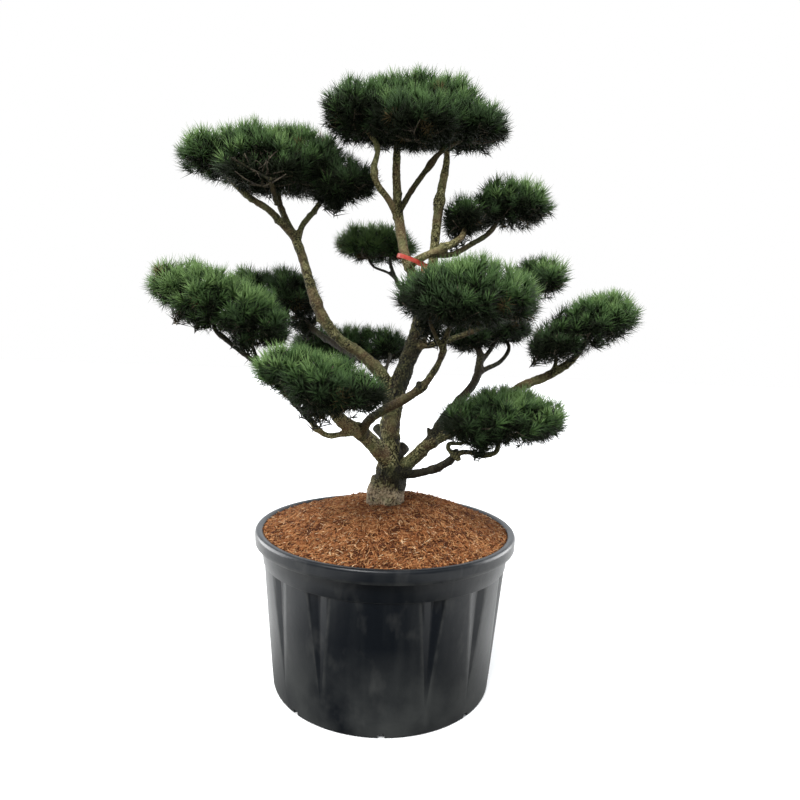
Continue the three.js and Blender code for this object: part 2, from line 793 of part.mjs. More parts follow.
// The trunk and every limb, each with the place where it ends.
function makeLimbs() {
  const leaderTip = hub(CLOUDS.top_cloud[1]).toArray();
  const trunkLine = [...TRUNK.map(([x, y, z]) => [x, y, z]), leaderTip];
  const trunk = new Limb({
    name: "trunk",
    line: trunkLine,
    radiusAlong: onePerPoint(TRUNK.map((row) => row[3]), trunkLine.length),
    sides: TRUNK_SIDES,
    flare: rootFlare,
    foot: new THREE.Vector3(0, 0, 1),
  });
  trunk.feeds = ["top_cloud", 1];
  const limbs = [trunk];
  for (const [name, { line, radii, knots, feeds }] of Object.entries(LIMBS)) {
    const route = feeds ? [...line, hub(CLOUDS[feeds[0]][feeds[1]]).toArray()] : line;
    const sides = radii[0] > ARM_RADIUS ? BOUGH_SIDES : ARM_SIDES;
    const limb = new Limb({ name, line: route, radiusAlong: spacedEvenly(radii), knots, sides });
    limb.feeds = feeds;
    limbs.push(limb);
  }
  for (const limb of limbs) {
    if (limb.feeds) {
      const lobes = CLOUDS[limb.feeds[0]];
      const inside = (t) => lobes.some((lobe) => inLobe(limb.curve.getPointAt(t), lobe, ENTRY_DEPTH));
      limb.end = 0.3;
      while (limb.end < 0.97 && !inside(limb.end)) limb.end += 0.01;
    }
    const steps = Math.ceil(limb.length / SAMPLE_SPACING);
    limb.samples = [];
    for (let step = 0; step <= steps; step++) {
      const t = (limb.end * step) / steps;
      limb.samples.push({ point: limb.curve.getPointAt(t), radius: limb.radiusAt(t) });
    }
  }
  return limbs;
}

const tree = new THREE.Group();
const limbs = makeLimbs();
let wood = null;
for (const limb of limbs) {
  let body = limb.body(0, limb.end);
  let wider = limb.body(0, limb.end, CLEAR);
  if (!wood) {
    for (const [start, end, radius] of STUBS) {
      const stub = new Limb({ name: "stub", line: [start, end], radiusAlong: () => radius });
      body = body.add(stub.body(0, 1));
      wider = wider.add(stub.body(0, 1, CLEAR));
    }
  }
  if (wood) body = body.subtract(wood);
  wood = wood ? wood.add(wider) : wider;
  tree.add(part(limb.name, body, MATERIALS.bark));
}
Object.keys(CLOUDS).forEach((name, index) => {
  tree.add(part(name, cloud(name, 11 + 7 * index, limbs).subtract(wood), MATERIALS.needles));
});
tree.add(part("tie_tape", tape().subtract(wood), MATERIALS.tape));
tree.add(part("mulch", mulch(), MATERIALS.mulch));
tree.add(part("pot", pot(), MATERIALS.pot));

export default tree;
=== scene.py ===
"""The finished looks of a cloud-pruned gnom mugo pine in its black nursery pot.

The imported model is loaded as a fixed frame, and every piece is built in that frame, in metres. Tables and
sizes are in millimetres, as the tree was measured, and MM turns them into metres. The tree's front is -Y.
"""

from __future__ import annotations

import logging
import math
from dataclasses import dataclass, field
from enum import Enum

import bpy
import numpy as np
from mathutils import Matrix, Vector, kdtree, noise

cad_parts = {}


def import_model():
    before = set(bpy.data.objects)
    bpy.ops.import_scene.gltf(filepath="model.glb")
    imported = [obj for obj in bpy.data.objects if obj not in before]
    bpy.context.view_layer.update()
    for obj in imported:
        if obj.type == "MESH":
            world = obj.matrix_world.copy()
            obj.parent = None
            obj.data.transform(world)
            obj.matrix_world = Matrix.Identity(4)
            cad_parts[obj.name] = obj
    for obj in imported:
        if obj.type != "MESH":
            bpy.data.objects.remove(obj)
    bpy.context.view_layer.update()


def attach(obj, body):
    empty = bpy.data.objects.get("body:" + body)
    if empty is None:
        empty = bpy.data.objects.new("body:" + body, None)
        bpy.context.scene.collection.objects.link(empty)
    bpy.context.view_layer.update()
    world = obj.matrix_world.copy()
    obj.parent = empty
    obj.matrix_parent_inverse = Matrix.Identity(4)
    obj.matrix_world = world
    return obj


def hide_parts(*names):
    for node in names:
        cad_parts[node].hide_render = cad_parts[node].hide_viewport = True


Socket = bpy.types.NodeSocket

LOG = logging.getLogger("gnom_mugo_pine")
MM = 0.001
GOLDEN_ANGLE = math.pi * (3 - math.sqrt(5))
# Points of a turned piece nearer than this are one point
WELD = 0.00002

# The trunk's line from the mulch to the leader's tip: x, y, z and the radius there
TRUNK = (
    (-5, 0, 628, 62), (-1, -2, 690, 65), (11, -4, 724, 59), (8, -6, 770, 47), (5, -8, 842, 36),
    (4, -7, 940, 35), (21, 0, 1048, 34), (44, 5, 1113, 31), (61, 10, 1186, 23), (86, 19, 1285, 19),
    (91, 26, 1370, 18), (66, 32, 1454, 18), (34, 34, 1530, 18), (8, 34, 1660, 18), (0, 32, 1715, 16),
    (-7, 20, 1883, 13),
)


class PaintedBarkLight(Enum):
    """How much painted light or shade a limb's bark gets, from painted shade to painted sunlight."""

    DARK = 0.0
    MIDDLE = 0.34
    PLAIN = 0.54
    LIGHT = 0.9


# Pruned stubs, small nubs and short wood that shows inside a cloud: start, end, radius and the bark's painted
# light
SPURS = (
    ((22, 4, 806), (58, 45, 838), 22, PaintedBarkLight.DARK),
    ((-10, 4, 876), (-50, 40, 908), 17, PaintedBarkLight.DARK),
    ((144, -8, 886), (140, -2, 918), 6, PaintedBarkLight.DARK),
    ((222, -204, 862), (234, -214, 838), 9, PaintedBarkLight.PLAIN),
    ((-92, -142, 908), (-110, -160, 930), 7, PaintedBarkLight.PLAIN),
    ((-190, -20, 1226), (-196, -46, 1236), 8, PaintedBarkLight.PLAIN),
    ((96, -298, 1080), (87, -301, 1096), 7, PaintedBarkLight.DARK),
    ((-425, 20, 1690), (-418, -120, 1736), 9, PaintedBarkLight.MIDDLE),
    ((-418, -118, 1734), (-548, -128, 1797), 5, PaintedBarkLight.DARK),
    ((-420, -118, 1734), (-345, -110, 1752), 4, PaintedBarkLight.DARK),
)


@dataclass(frozen=True)
class LimbPlan:
    """One limb as measured: its line, radii spaced evenly along it, and what it carries.

    Attributes:
        line: Points in millimetres, the first one inside the limb that carries this one.
        radii: Radii in millimetres, spaced evenly along the line.
        knots: Swellings, each with its place and how far it stands out.
        feeds: The cloud and the lobe that the limb runs on into, if it does.
        tone: How much painted light or shade its bark gets, or None if it gets the trunk's painted light at
            the same height.
    """

    line: tuple
    radii: tuple
    knots: tuple = ()
    feeds: tuple | None = None
    tone: PaintedBarkLight | None = PaintedBarkLight.MIDDLE


LIMBS = {
    "low_left_bough": LimbPlan(
        line=((-2, -12, 800), (-36, -60, 842), (-66, -105, 880), (-99, -150, 916), (-145, -212, 950)),
        radii=(32, 25, 21, 17), knots=((-92, -142, 908, 4),), feeds=("front_left_cloud", 1),
        tone=PaintedBarkLight.LIGHT,
    ),
    "far_left_bough_inner": LimbPlan(
        line=(
            (-108, -165, 915), (-150, -203, 911), (-192, -235, 909), (-226, -258, 934), (-245, -262, 958),
        ),
        radii=(13, 10, 9, 9), tone=PaintedBarkLight.LIGHT,
    ),
    "far_left_bough_outer": LimbPlan(
        line=(
            (-245, -262, 958), (-338, -225, 1043), (-444, -190, 1135), (-542, -170, 1204),
            (-580, -165, 1237),
        ),
        radii=(9, 8), feeds=("far_left_cloud", 1), tone=PaintedBarkLight.DARK,
    ),
    "far_left_twin": LimbPlan(
        line=((-416, -198, 1112), (-437, -180, 1148), (-458, -165, 1190)),
        radii=(7, 6), feeds=("far_left_cloud", 2), tone=PaintedBarkLight.DARK,
    ),
    "tall_left_bough": LimbPlan(
        line=(
            (10, 0, 992), (-13, 5, 1054), (-42, 0, 1111), (-117, -10, 1176), (-186, -20, 1222),
            (-240, -20, 1284), (-276, -15, 1356), (-330, 6, 1512), (-358, 15, 1580),
        ),
        radii=(31, 26, 20, 18, 20, 18, 16, 17), knots=((-260, -20, 1356, 8),), tone=PaintedBarkLight.PLAIN,
    ),
    "upper_left_arm_near": LimbPlan(
        line=((-350, 14, 1566), (-388, 5, 1605), (-444, -25, 1659), (-512, -40, 1699)),
        radii=(14, 11, 8), feeds=("upper_left_cloud", 0), tone=PaintedBarkLight.PLAIN,
    ),
    "upper_left_arm_middle": LimbPlan(
        line=((-354, 14, 1572), (-385, 25, 1623), (-417, 35, 1690), (-435, 45, 1759)),
        radii=(13, 9), feeds=("upper_left_cloud", 1), tone=PaintedBarkLight.PLAIN,
    ),
    "upper_left_arm_right": LimbPlan(
        line=((-348, 14, 1568), (-333, 30, 1623), (-294, 48, 1680), (-276, 56, 1722)),
        radii=(11, 8), feeds=("upper_left_cloud", 2), tone=PaintedBarkLight.PLAIN,
    ),
    "second_leader": LimbPlan(
        line=(
            (48, 6, 1120), (81, 16, 1186), (110, 23, 1248), (126, 24, 1328), (133, 17, 1430),
            (137, 8, 1560), (148, 12, 1712), (168, 22, 1886),
        ),
        radii=(23, 19, 17, 16, 16, 13, 12), knots=((148, 12, 1716, 6),), feeds=("top_cloud", 2), tone=None,
    ),
    "top_arm_left": LimbPlan(
        line=((2, 30, 1668), (-34, -15, 1715), (-72, -48, 1757), (-82, -62, 1794), (-71, -78, 1866)),
        radii=(13, 10, 8), knots=((-80, -62, 1786, 3),), feeds=("top_cloud", 0), tone=PaintedBarkLight.LIGHT,
    ),
    "top_arm_right": LimbPlan(
        line=((6, 30, 1680), (49, -10, 1745), (101, -32, 1815), (147, -48, 1869)),
        radii=(11, 8), knots=((112, -36, 1828, 4),), feeds=("top_cloud", 3),
    ),
    "right_high_bough": LimbPlan(
        line=((45, 30, 1478), (68, -4, 1502), (105, -32, 1520), (154, -42, 1542), (222, -36, 1582)),
        radii=(15, 12, 9), knots=((172, -42, 1552, 3),), feeds=("right_high_cloud", 0), tone=PaintedBarkLight.LIGHT,
    ),
    "right_high_lower_arm": LimbPlan(
        line=((128, -38, 1524), (194, -28, 1528), (265, 0, 1570), (337, 28, 1625)),
        radii=(10, 9), feeds=("right_high_cloud", 1),
    ),
    "small_back_bough": LimbPlan(
        line=((82, 26, 1318), (51, 70, 1375), (3, 165, 1461), (-24, 255, 1546)),
        radii=(9, 7), feeds=("small_back_cloud", 1), tone=PaintedBarkLight.DARK,
    ),
    "small_back_arm": LimbPlan(
        line=((5, 162, 1459), (-29, 205, 1489), (-96, 265, 1525)),
        radii=(6, 5), feeds=("small_back_cloud", 0), tone=PaintedBarkLight.DARK,
    ),
    "crossing_bough": LimbPlan(
        line=(
            (-86, -150, 914), (-67, -188, 955), (-12, -238, 999), (51, -278, 1039), (101, -298, 1080),
            (142, -308, 1140), (166, -312, 1199),
        ),
        radii=(16, 14, 15, 11, 9), knots=((90, -297, 1084, 6),),
    ),
    "crossing_arm_up": LimbPlan(
        line=((160, -312, 1188), (166, -314, 1228), (192, -315, 1290)),
        radii=(9, 7), feeds=("centre_right_cloud", 1),
    ),
    "crossing_arm_left": LimbPlan(
        line=((160, -312, 1190), (144, -316, 1220), (120, -320, 1270)),
        radii=(7, 6), feeds=("centre_right_cloud", 0),
    ),
    "right_back_bough": LimbPlan(
        line=(
            (92, 18, 1208), (136, 14, 1212), (206, 6, 1235), (311, 8, 1280), (416, 12, 1334),
            (490, 17, 1384),
        ),
        radii=(11, 9, 7), feeds=("right_back_cloud", 0),
    ),
    "right_bough": LimbPlan(
        line=(
            (38, 2, 750), (91, -5, 802), (151, -10, 866), (238, 10, 910), (363, 45, 988), (480, 65, 1072),
            (579, 70, 1118), (657, 60, 1174), (692, 50, 1222),
        ),
        radii=(26, 22, 20, 18, 17, 15, 10), knots=((152, -8, 880, 6),), feeds=("far_right_cloud", 1),
        tone=PaintedBarkLight.PLAIN,
    ),
    "far_right_arm": LimbPlan(
        line=((586, 70, 1120), (599, 60, 1154), (600, 50, 1183)),
        radii=(8, 6), feeds=("far_right_cloud", 0),
    ),
    "low_right_bough": LimbPlan(
        line=((40, -12, 746), (84, -40, 754), (158, -120, 789), (214, -190, 841), (226, -207, 866)),
        radii=(17, 13, 13), knots=((150, -112, 790, 3),), tone=PaintedBarkLight.DARK,
    ),
    "low_right_arm_outer": LimbPlan(
        line=((218, -203, 860), (258, -233, 871), (316, -258, 868), (344, -268, 881), (349, -270, 905)),
        radii=(9, 8), feeds=("low_right_cloud", 1),
    ),
    "low_right_arm_inner": LimbPlan(
        line=((218, -200, 856), (199, -200, 874), (199, -207, 891), (236, -228, 898), (254, -236, 911)),
        radii=(8, 6), feeds=("low_right_cloud", 0),
    ),
    "dark_back_bough": LimbPlan(
        line=(
            (160, -8, 888), (187, 20, 936), (261, 80, 1018), (317, 130, 1083), (334, 160, 1138),
            (338, 190, 1196),
        ),
        radii=(17, 15, 16, 10), knots=((252, 77, 1018, 4),), feeds=("right_back_low_cloud", 0),
        tone=PaintedBarkLight.DARK,
    ),
    "dark_back_arm_right": LimbPlan(
        line=((328, 147, 1110), (358, 165, 1129), (425, 205, 1164), (460, 240, 1220)),
        radii=(10, 7), feeds=("right_back_low_cloud", 1), tone=PaintedBarkLight.DARK,
    ),
    "dark_back_arm_middle": LimbPlan(
        line=((337, 167, 1150), (359, 186, 1177), (398, 225, 1230)),
        radii=(9, 8), feeds=("right_back_low_cloud", 1), tone=PaintedBarkLight.DARK,
    ),
    "back_bough": LimbPlan(
        line=((4, 0, 1010), (-11, 55, 1047), (-25, 140, 1100), (-18, 215, 1140), (-12, 290, 1168)),
        radii=(10, 7, 7), feeds=("back_cloud", 2), tone=PaintedBarkLight.DARK,
    ),
    "back_arm_left": LimbPlan(
        line=((-25, 155, 1108), (-58, 230, 1140), (-143, 355, 1187)),
        radii=(7, 6), feeds=("back_cloud", 1), tone=PaintedBarkLight.DARK,
    ),
    "left_back_bough": LimbPlan(
        line=((-72, -2, 1143), (-147, 60, 1171), (-308, 190, 1258), (-370, 222, 1312)),
        radii=(14, 10), feeds=("left_back_cloud", 1), tone=PaintedBarkLight.DARK,
    ),
}


@dataclass(frozen=True)
class CloudPlan:
    """One cloud of needles as measured.

    Attributes:
        lobes: Buns, each the middle of its dome and its half sizes along x, y and z, in millimetres.
        shade: How much painted shade the cloud's needles get, with painted light instead where it is below 0.
        hollow: A ball where no shoots grow, so that the wood inside shows, with painted shade on the needles
            round it: its middle and its radius.
    """

    lobes: tuple
    shade: float = 0.0
    hollow: tuple | None = None


CLOUDS = {
    "top_cloud": CloudPlan(
        lobes=(
            (-140, -50, 1976, 140, 165, 116), (5, 50, 2020, 170, 180, 140), (140, 50, 2025, 170, 180, 140),
            (257, -30, 1954, 128, 150, 90), (50, -130, 1930, 160, 130, 105), (70, 160, 2050, 185, 120, 120),
        ),
        shade=0.25,
    ),
    "upper_left_cloud": CloudPlan(
        lobes=(
            (-645, 0, 1840, 130, 140, 100), (-485, 50, 1844, 165, 170, 140),
            (-320, 60, 1830, 150, 170, 145), (-172, 20, 1775, 114, 125, 88),
            (-450, -90, 1775, 150, 110, 100), (-215, 20, 1730, 72, 75, 38),
        ),
        hollow=(-430, -185, 1757, 92),
    ),
    "small_back_cloud": CloudPlan(
        lobes=((-125, 300, 1611, 133, 125, 99), (-5, 320, 1610, 95, 110, 84)),
        shade=-2.2,
    ),
    "right_high_cloud": CloudPlan(
        lobes=(
            (245, 10, 1665, 88, 110, 86), (375, 50, 1724, 110, 130, 105), (465, 40, 1720, 98, 125, 98),
            (216, 20, 1630, 40, 50, 28),
        ),
        shade=0.2,
    ),
    "centre_right_cloud": CloudPlan(
        lobes=(
            (104, -320, 1356, 108, 135, 98), (240, -315, 1365, 125, 155, 132),
            (360, -280, 1355, 110, 140, 112), (200, -405, 1325, 115, 90, 80), (134, -262, 1276, 44, 50, 30),
        ),
        shade=0.2,
    ),
    "right_back_cloud": CloudPlan(
        lobes=((545, 20, 1466, 86, 105, 86), (492, 100, 1468, 85, 95, 86)),
        shade=0.15,
    ),
    "right_back_low_cloud": CloudPlan(
        lobes=((290, 260, 1256, 115, 120, 76), (425, 280, 1296, 140, 150, 100)),
        shade=0.9,
    ),
    "far_right_cloud": CloudPlan(
        lobes=(
            (600, 40, 1240, 110, 112, 92), (708, 40, 1308, 125, 135, 115), (800, 40, 1346, 95, 115, 95),
            (538, 40, 1218, 44, 60, 32),
        ),
        shade=0.4,
    ),
    "low_right_cloud": CloudPlan(
        lobes=(
            (240, -240, 975, 88, 110, 80), (350, -260, 990, 110, 130, 110), (468, -250, 985, 104, 120, 98),
            (385, -170, 990, 120, 90, 95), (292, -250, 922, 66, 60, 30),
        ),
        shade=0.25,
    ),
    "front_left_cloud": CloudPlan(
        lobes=(
            (-313, -360, 1122, 103, 120, 85), (-195, -380, 1075, 110, 130, 105),
            (-85, -370, 1060, 92, 115, 82), (-215, -290, 1085, 110, 90, 90), (-212, -335, 1010, 42, 50, 34),
        ),
        shade=0.25,
    ),
    "far_left_cloud": CloudPlan(
        lobes=(
            (-703, -160, 1378, 110, 125, 93), (-590, -160, 1341, 115, 145, 115),
            (-480, -150, 1288, 115, 135, 110), (-395, -150, 1245, 70, 92, 78),
            (-674, -165, 1318, 60, 70, 38), (-622, -165, 1286, 50, 60, 36), (-468, -190, 1212, 44, 46, 32),
        ),
        shade=-0.75,
    ),
    "left_back_cloud": CloudPlan(
        lobes=(
            (-570, 240, 1420, 105, 115, 95), (-420, 240, 1380, 140, 145, 140),
            (-345, 220, 1290, 62, 70, 42),
        ),
        shade=0.7,
    ),
    "back_cloud": CloudPlan(
        lobes=(
            (-320, 400, 1205, 125, 115, 95), (-180, 420, 1205, 130, 130, 100),
            (-25, 420, 1205, 105, 115, 95),
        ),
        shade=0.4,
    ),
}

# The underside of a lobe is flatter than its dome, and its hub lies below its middle
UNDERSIDE = 0.7
HUB_DROP = 0.2
FIRST_SEED = 11
SEED_STEP = 7


def link_object(name: str, data: bpy.types.ID) -> bpy.types.Object:
    """Make an object of a mesh, a light or a camera and link it to the scene."""
    made = bpy.data.objects.new(name, data)
    bpy.context.scene.collection.objects.link(made)
    return made


def select_only(piece: bpy.types.Object) -> None:
    """Deselect everything, then select a piece and make it the active one."""
    bpy.ops.object.select_all(action="DESELECT")
    piece.select_set(True)
    bpy.context.view_layer.objects.active = piece


def apply_modifier(piece: bpy.types.Object, kind: str, **settings: object) -> None:
    """Run one modifier on the active piece, with its settings."""
    modifier = piece.modifiers.new(kind.lower(), kind)
    for setting, value in settings.items():
        setattr(modifier, setting, value)
    bpy.ops.object.modifier_apply(modifier=modifier.name)


def smooth(piece: bpy.types.Object, sharpest: float) -> None:
    """Shade a piece smooth, apart from edges sharper than an angle in degrees."""
    select_only(piece)
    bpy.ops.object.shade_smooth_by_angle(angle=math.radians(sharpest))


def face_outward(piece: bpy.types.Object) -> None:
    """Turn all faces of a closed piece outward."""
    select_only(piece)
    bpy.ops.object.mode_set(mode="EDIT")
    bpy.ops.mesh.select_all(action="SELECT")
    bpy.ops.mesh.normals_make_consistent(inside=False)
    bpy.ops.object.mode_set(mode="OBJECT")


def mesh_piece(
    name: str,
    points: np.ndarray,
    faces: np.ndarray,
    slots: np.ndarray | None = None,
) -> bpy.types.Object:
    """Make a mesh piece from arrays.

    Args:
        name: The piece's name.
        points: Vertex places in metres, one row each.
        faces: Vertex numbers of each face, all faces with the same number of corners.
        slots: The material slot of each face.

    Returns:
        The new piece, linked to the scene.
    """
    mesh = bpy.data.meshes.new(name)
    corners = faces.shape[1]
    mesh.vertices.add(len(points))
    mesh.vertices.foreach_set("co", np.ascontiguousarray(points, np.float32).ravel())
    mesh.loops.add(faces.size)
    mesh.loops.foreach_set("vertex_index", np.ascontiguousarray(faces, np.int32).ravel())
    mesh.polygons.add(len(faces))
    mesh.polygons.foreach_set("loop_start", np.arange(0, faces.size, corners, dtype=np.int32))
    if slots is not None:
        mesh.polygons.foreach_set("material_index", np.ascontiguousarray(slots, np.int32))
    mesh.update(calc_edges=True)
    mesh.validate()
    return link_object(name, mesh)


def spun_piece(name: str, outline: list[tuple[float, float]], segments: int) -> bpy.types.Object:
    """Spin an outline round the pot's axis into a closed piece.

    Args:
        name: The piece's name.
        outline: Radii and heights in millimetres, from the axis round to the axis.
        segments: The number of steps in a full turn.

    Returns:
        The new piece, linked to the scene.
    """
    mesh = bpy.data.meshes.new(name)
    points = [(radius * MM, 0.0, z * MM) for radius, z in outline]
    mesh.from_pydata(points, [(i, i + 1) for i in range(len(points) - 1)], [])
    piece = link_object(name, mesh)
    select_only(piece)
    bpy.ops.object.mode_set(mode="EDIT")
    bpy.ops.mesh.select_all(action="SELECT")
    bpy.ops.mesh.spin(steps=segments, angle=2 * math.pi, center=(0, 0, 0), axis=(0, 0, 1))
    bpy.ops.mesh.select_all(action="SELECT")
    bpy.ops.mesh.remove_doubles(threshold=WELD)
    bpy.ops.object.mode_set(mode="OBJECT")
    face_outward(piece)
    return piece


def seat(piece: bpy.types.Object, slot: str, finishes: list, *nodes: str) -> None:
    """Give a piece its finishes and put it on the tree's one body, in place of the nodes it stands for.

    Args:
        piece: The finished piece.
        slot: The record's material slot for the piece; not used.
        finishes: Its materials, in slot order.
        nodes: The nodes that it replaces.
    """
    for material in finishes:
        piece.data.materials.append(material)
    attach(piece, "root")
    if nodes:
        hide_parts(*nodes)
    LOG.info("%s: %d triangles", piece.name, sum(len(face.vertices) - 2 for face in piece.data.polygons))


def unit(rows: np.ndarray) -> np.ndarray:
    """Return rows scaled to length one."""
    return rows / np.maximum(np.linalg.norm(rows, axis=-1, keepdims=True), 1e-9)


def chance(seed: float, count: np.ndarray) -> np.ndarray:
    """Return repeatable numbers from 0 to 1 for a seed and counts, by the same rule as the solids."""
    value = np.sin(seed * 127.1 + np.asarray(count, float) * 311.7) * 43758.5453
    return value - np.floor(value)


def noise_at(places: np.ndarray, size: float) -> np.ndarray:
    """Return smooth noise from -1 to 1 at places, varying over a size."""
    return np.array([noise.noise(Vector(place / size)) for place in places])


def tree_of(places: np.ndarray) -> kdtree.KDTree:
    """Return places as a tree that finds the nearest one."""
    tree = kdtree.KDTree(len(places))
    for index, place in enumerate(places):
        tree.insert(place, index)
    tree.balance()
    return tree


def bands(sides: int, rings: int) -> np.ndarray:
    """Return the triangles between rings of points that are numbered ring after ring."""
    corner = np.arange(sides)
    after = (corner + 1) % sides
    low = np.arange(rings - 1)[:, None] * sides
    first = np.stack([low + corner, low + after, low + sides + after], axis=-1)
    second = np.stack([low + corner, low + sides + after, low + sides + corner], axis=-1)
    return np.concatenate([first, second], axis=1).reshape(-1, 3)


def copied(pattern: np.ndarray, points: int, count: int) -> np.ndarray:
    """Return a small shape's faces once for each of its copies, each copy having so many points."""
    return (np.arange(count)[:, None, None] * points + np.array(pattern)[None]).reshape(-1, 3)


def add_node(
    tree: bpy.types.NodeTree,
    kind: str,
    inputs: dict | None = None,
    **options: object,
) -> bpy.types.Node:
    """Add a shader node.

    Args:
        tree: The node tree that it goes into.
        kind: Its type, without the prefix that all shader nodes share.
        inputs: What its inputs get: a socket to link, a number, or a colour as (red, green, blue).
        options: Its own settings.

    Returns:
        The new node.
    """
    node = tree.nodes.new(f"ShaderNode{kind}")
    for option, value in options.items():
        setattr(node, option, value)
    for name, value in (inputs or {}).items():
        if isinstance(value, Socket):
            tree.links.new(value, node.inputs[name])
        elif node.inputs[name].type == "RGBA":
            node.inputs[name].default_value = (*value, 1.0)
        else:
            node.inputs[name].default_value = value
    return node


class Paint:
    """One material, built node by node on Object coordinates."""

    def __init__(self, name: str, roughness: float, colour: tuple, shine: float = 0.5) -> None:
        """Start a material with a plain colour, a roughness and a level of reflection."""
        self.material = bpy.data.materials.new(name)
        self.material.use_nodes = True
        self.tree = self.material.node_tree
        self.shader = self.tree.nodes["Principled BSDF"]
        self.shader.inputs["Roughness"].default_value = roughness
        self.shader.inputs["Specular IOR Level"].default_value = shine
        self.shader.inputs["Base Color"].default_value = (*colour, 1.0)
        self.place = self.node("TexCoord").outputs["Object"]

    def node(self, kind: str, inputs: dict | None = None, **options: object) -> bpy.types.Node:
        """Add a node to the material."""
        return add_node(self.tree, kind, inputs, **options)

    def wire(self, output: Socket, socket: str) -> None:
        """Feed a node's output into one of the shader's sockets."""
        self.tree.links.new(output, self.shader.inputs[socket])

    def stretched(self, scale: tuple[float, float, float]) -> Socket:
        """Return Object coordinates scaled along each axis."""
        return self.node("Mapping", {"Scale": scale, "Vector": self.place}).outputs["Vector"]

    def noise(self, scale: float, detail: float, place: Socket | None = None, warp: float = 0.0) -> Socket:
        """Return a noise pattern's factor.

        Args:
            scale: How many times it varies per metre.
            detail: How many finer octaves it has.
            place: The coordinates, or Object coordinates where none are given.
            warp: How far the pattern is warped.

        Returns:
            The factor's socket.
        """
        inputs = {"Scale": scale, "Detail": detail, "Distortion": warp, "Vector": place or self.place}
        return self.node("TexNoise", inputs).outputs["Fac"]

    def cells(self, scale: float, place: Socket) -> Socket:
        """Return the distance to the nearest cell's middle in a cell pattern."""
        return self.node("TexVoronoi", {"Scale": scale, "Vector": place}).outputs["Distance"]

    def attribute(self, name: str) -> Socket:
        """Return a value that the mesh holds at each point."""
        return self.node("Attribute", attribute_name=name).outputs["Fac"]

    def axes(self) -> bpy.types.NodeOutputs:
        """Return the Object coordinates' three parts, by name."""
        return self.node("SeparateXYZ", {"Vector": self.place}).outputs

    def ramp(self, factor: Socket, stops: tuple) -> Socket:
        """Turn a factor into a colour.

        Args:
            factor: The socket to read.
            stops: Places from 0 to 1 with their colours, as (place, (red, green, blue)).

        Returns:
            The colour's socket.
        """
        node = self.node("ValToRGB", {"Fac": factor})
        elements = node.color_ramp.elements
        while len(elements) < len(stops):
            elements.new(0.5)
        for element, (position, colour) in zip(elements, stops):
            element.position = position
            element.color = (*colour, 1.0)
        return node.outputs["Color"]

    def grade(self, factor: Socket, low: float, high: float) -> Socket:
        """Stretch a factor so that it runs from 0 at low to 1 at high."""
        return self.node("MapRange", {"From Min": low, "From Max": high, "Value": factor}).outputs["Result"]

    def mixed(
        self,
        share: Socket | float,
        first: Socket | tuple,
        second: Socket | tuple,
        mode: str = "MIX",
    ) -> Socket:
        """Return two colours, each a socket or a plain colour, mixed by the second one's share."""
        inputs = {0: share, 6: first, 7: second}
        return self.node("Mix", inputs, data_type="RGBA", blend_type=mode).outputs[2]

    def sums(self, operation: str, first: Socket, second: Socket | float) -> Socket:
        """Return the result of a sum on two values, kept from 0 to 1."""
        return self.node("Math", {0: first, 1: second}, operation=operation, use_clamp=True).outputs[0]

    def times(self, first: Socket, second: Socket | float) -> Socket:
        """Return the product of two values, kept from 0 to 1."""
        return self.sums("MULTIPLY", first, second)

    def relief(self, height: Socket, depth: float, strength: float = 1.0) -> None:
        """Roughen the surface by a bump of a depth in metres, on top of any bump that is there."""
        normal = self.shader.inputs["Normal"]
        inputs = {"Distance": depth, "Strength": strength, "Height": height}
        if normal.is_linked:
            inputs["Normal"] = normal.links[0].from_socket
        self.wire(self.node("Bump", inputs).outputs["Normal"], "Normal")


@dataclass
class Route:
    """A smooth line through points, as a centripetal curve, read by its share of length."""

    points: np.ndarray
    places: np.ndarray = field(init=False)
    shares: np.ndarray = field(init=False)
    knots: np.ndarray = field(init=False)
    length: float = field(init=False)

    STEPS = 24

    def __post_init__(self) -> None:
        """Work out the curve and how far along it each place lies."""
        given = np.asarray(self.points, float)
        padded = np.vstack([2 * given[0] - given[1], given, 2 * given[-1] - given[-2]])
        spans = [self._span(padded[i : i + 4]) for i in range(len(given) - 1)]
        self.places = np.vstack(spans + [given[-1:]])
        steps = np.linalg.norm(np.diff(self.places, axis=0), axis=1)
        reached = np.concatenate([[0.0], np.cumsum(steps)])
        self.length = float(reached[-1])
        self.shares = reached / self.length
        self.knots = self.shares[:: self.STEPS]

    def _span(self, four: np.ndarray) -> np.ndarray:
        """Return the places between the second and third of four points."""
        gaps = np.sqrt(np.linalg.norm(np.diff(four, axis=0), axis=1))
        t0, t1, t2, t3 = np.concatenate([[0.0], np.cumsum(np.maximum(gaps, 1e-6))])
        t = np.linspace(t1, t2, self.STEPS, endpoint=False)[:, None]
        a1 = (t1 - t) / (t1 - t0) * four[0] + (t - t0) / (t1 - t0) * four[1]
        a2 = (t2 - t) / (t2 - t1) * four[1] + (t - t1) / (t2 - t1) * four[2]
        a3 = (t3 - t) / (t3 - t2) * four[2] + (t - t2) / (t3 - t2) * four[3]
        b1 = (t2 - t) / (t2 - t0) * a1 + (t - t0) / (t2 - t0) * a2
        b2 = (t3 - t) / (t3 - t1) * a2 + (t - t1) / (t3 - t1) * a3
        return (t2 - t) / (t2 - t1) * b1 + (t - t1) / (t2 - t1) * b2

    def at(self, share: np.ndarray) -> np.ndarray:
        """Return the places at shares of the length."""
        return np.stack([np.interp(share, self.shares, self.places[:, axis]) for axis in range(3)], axis=-1)

    def tangent(self, share: np.ndarray) -> np.ndarray:
        """Return the direction at shares of the length."""
        reach = 0.5 / (len(self.places) - 1)
        ahead = self.at(np.minimum(np.asarray(share) + reach, 1.0))
        behind = self.at(np.maximum(np.asarray(share) - reach, 0.0))
        return unit(ahead - behind)


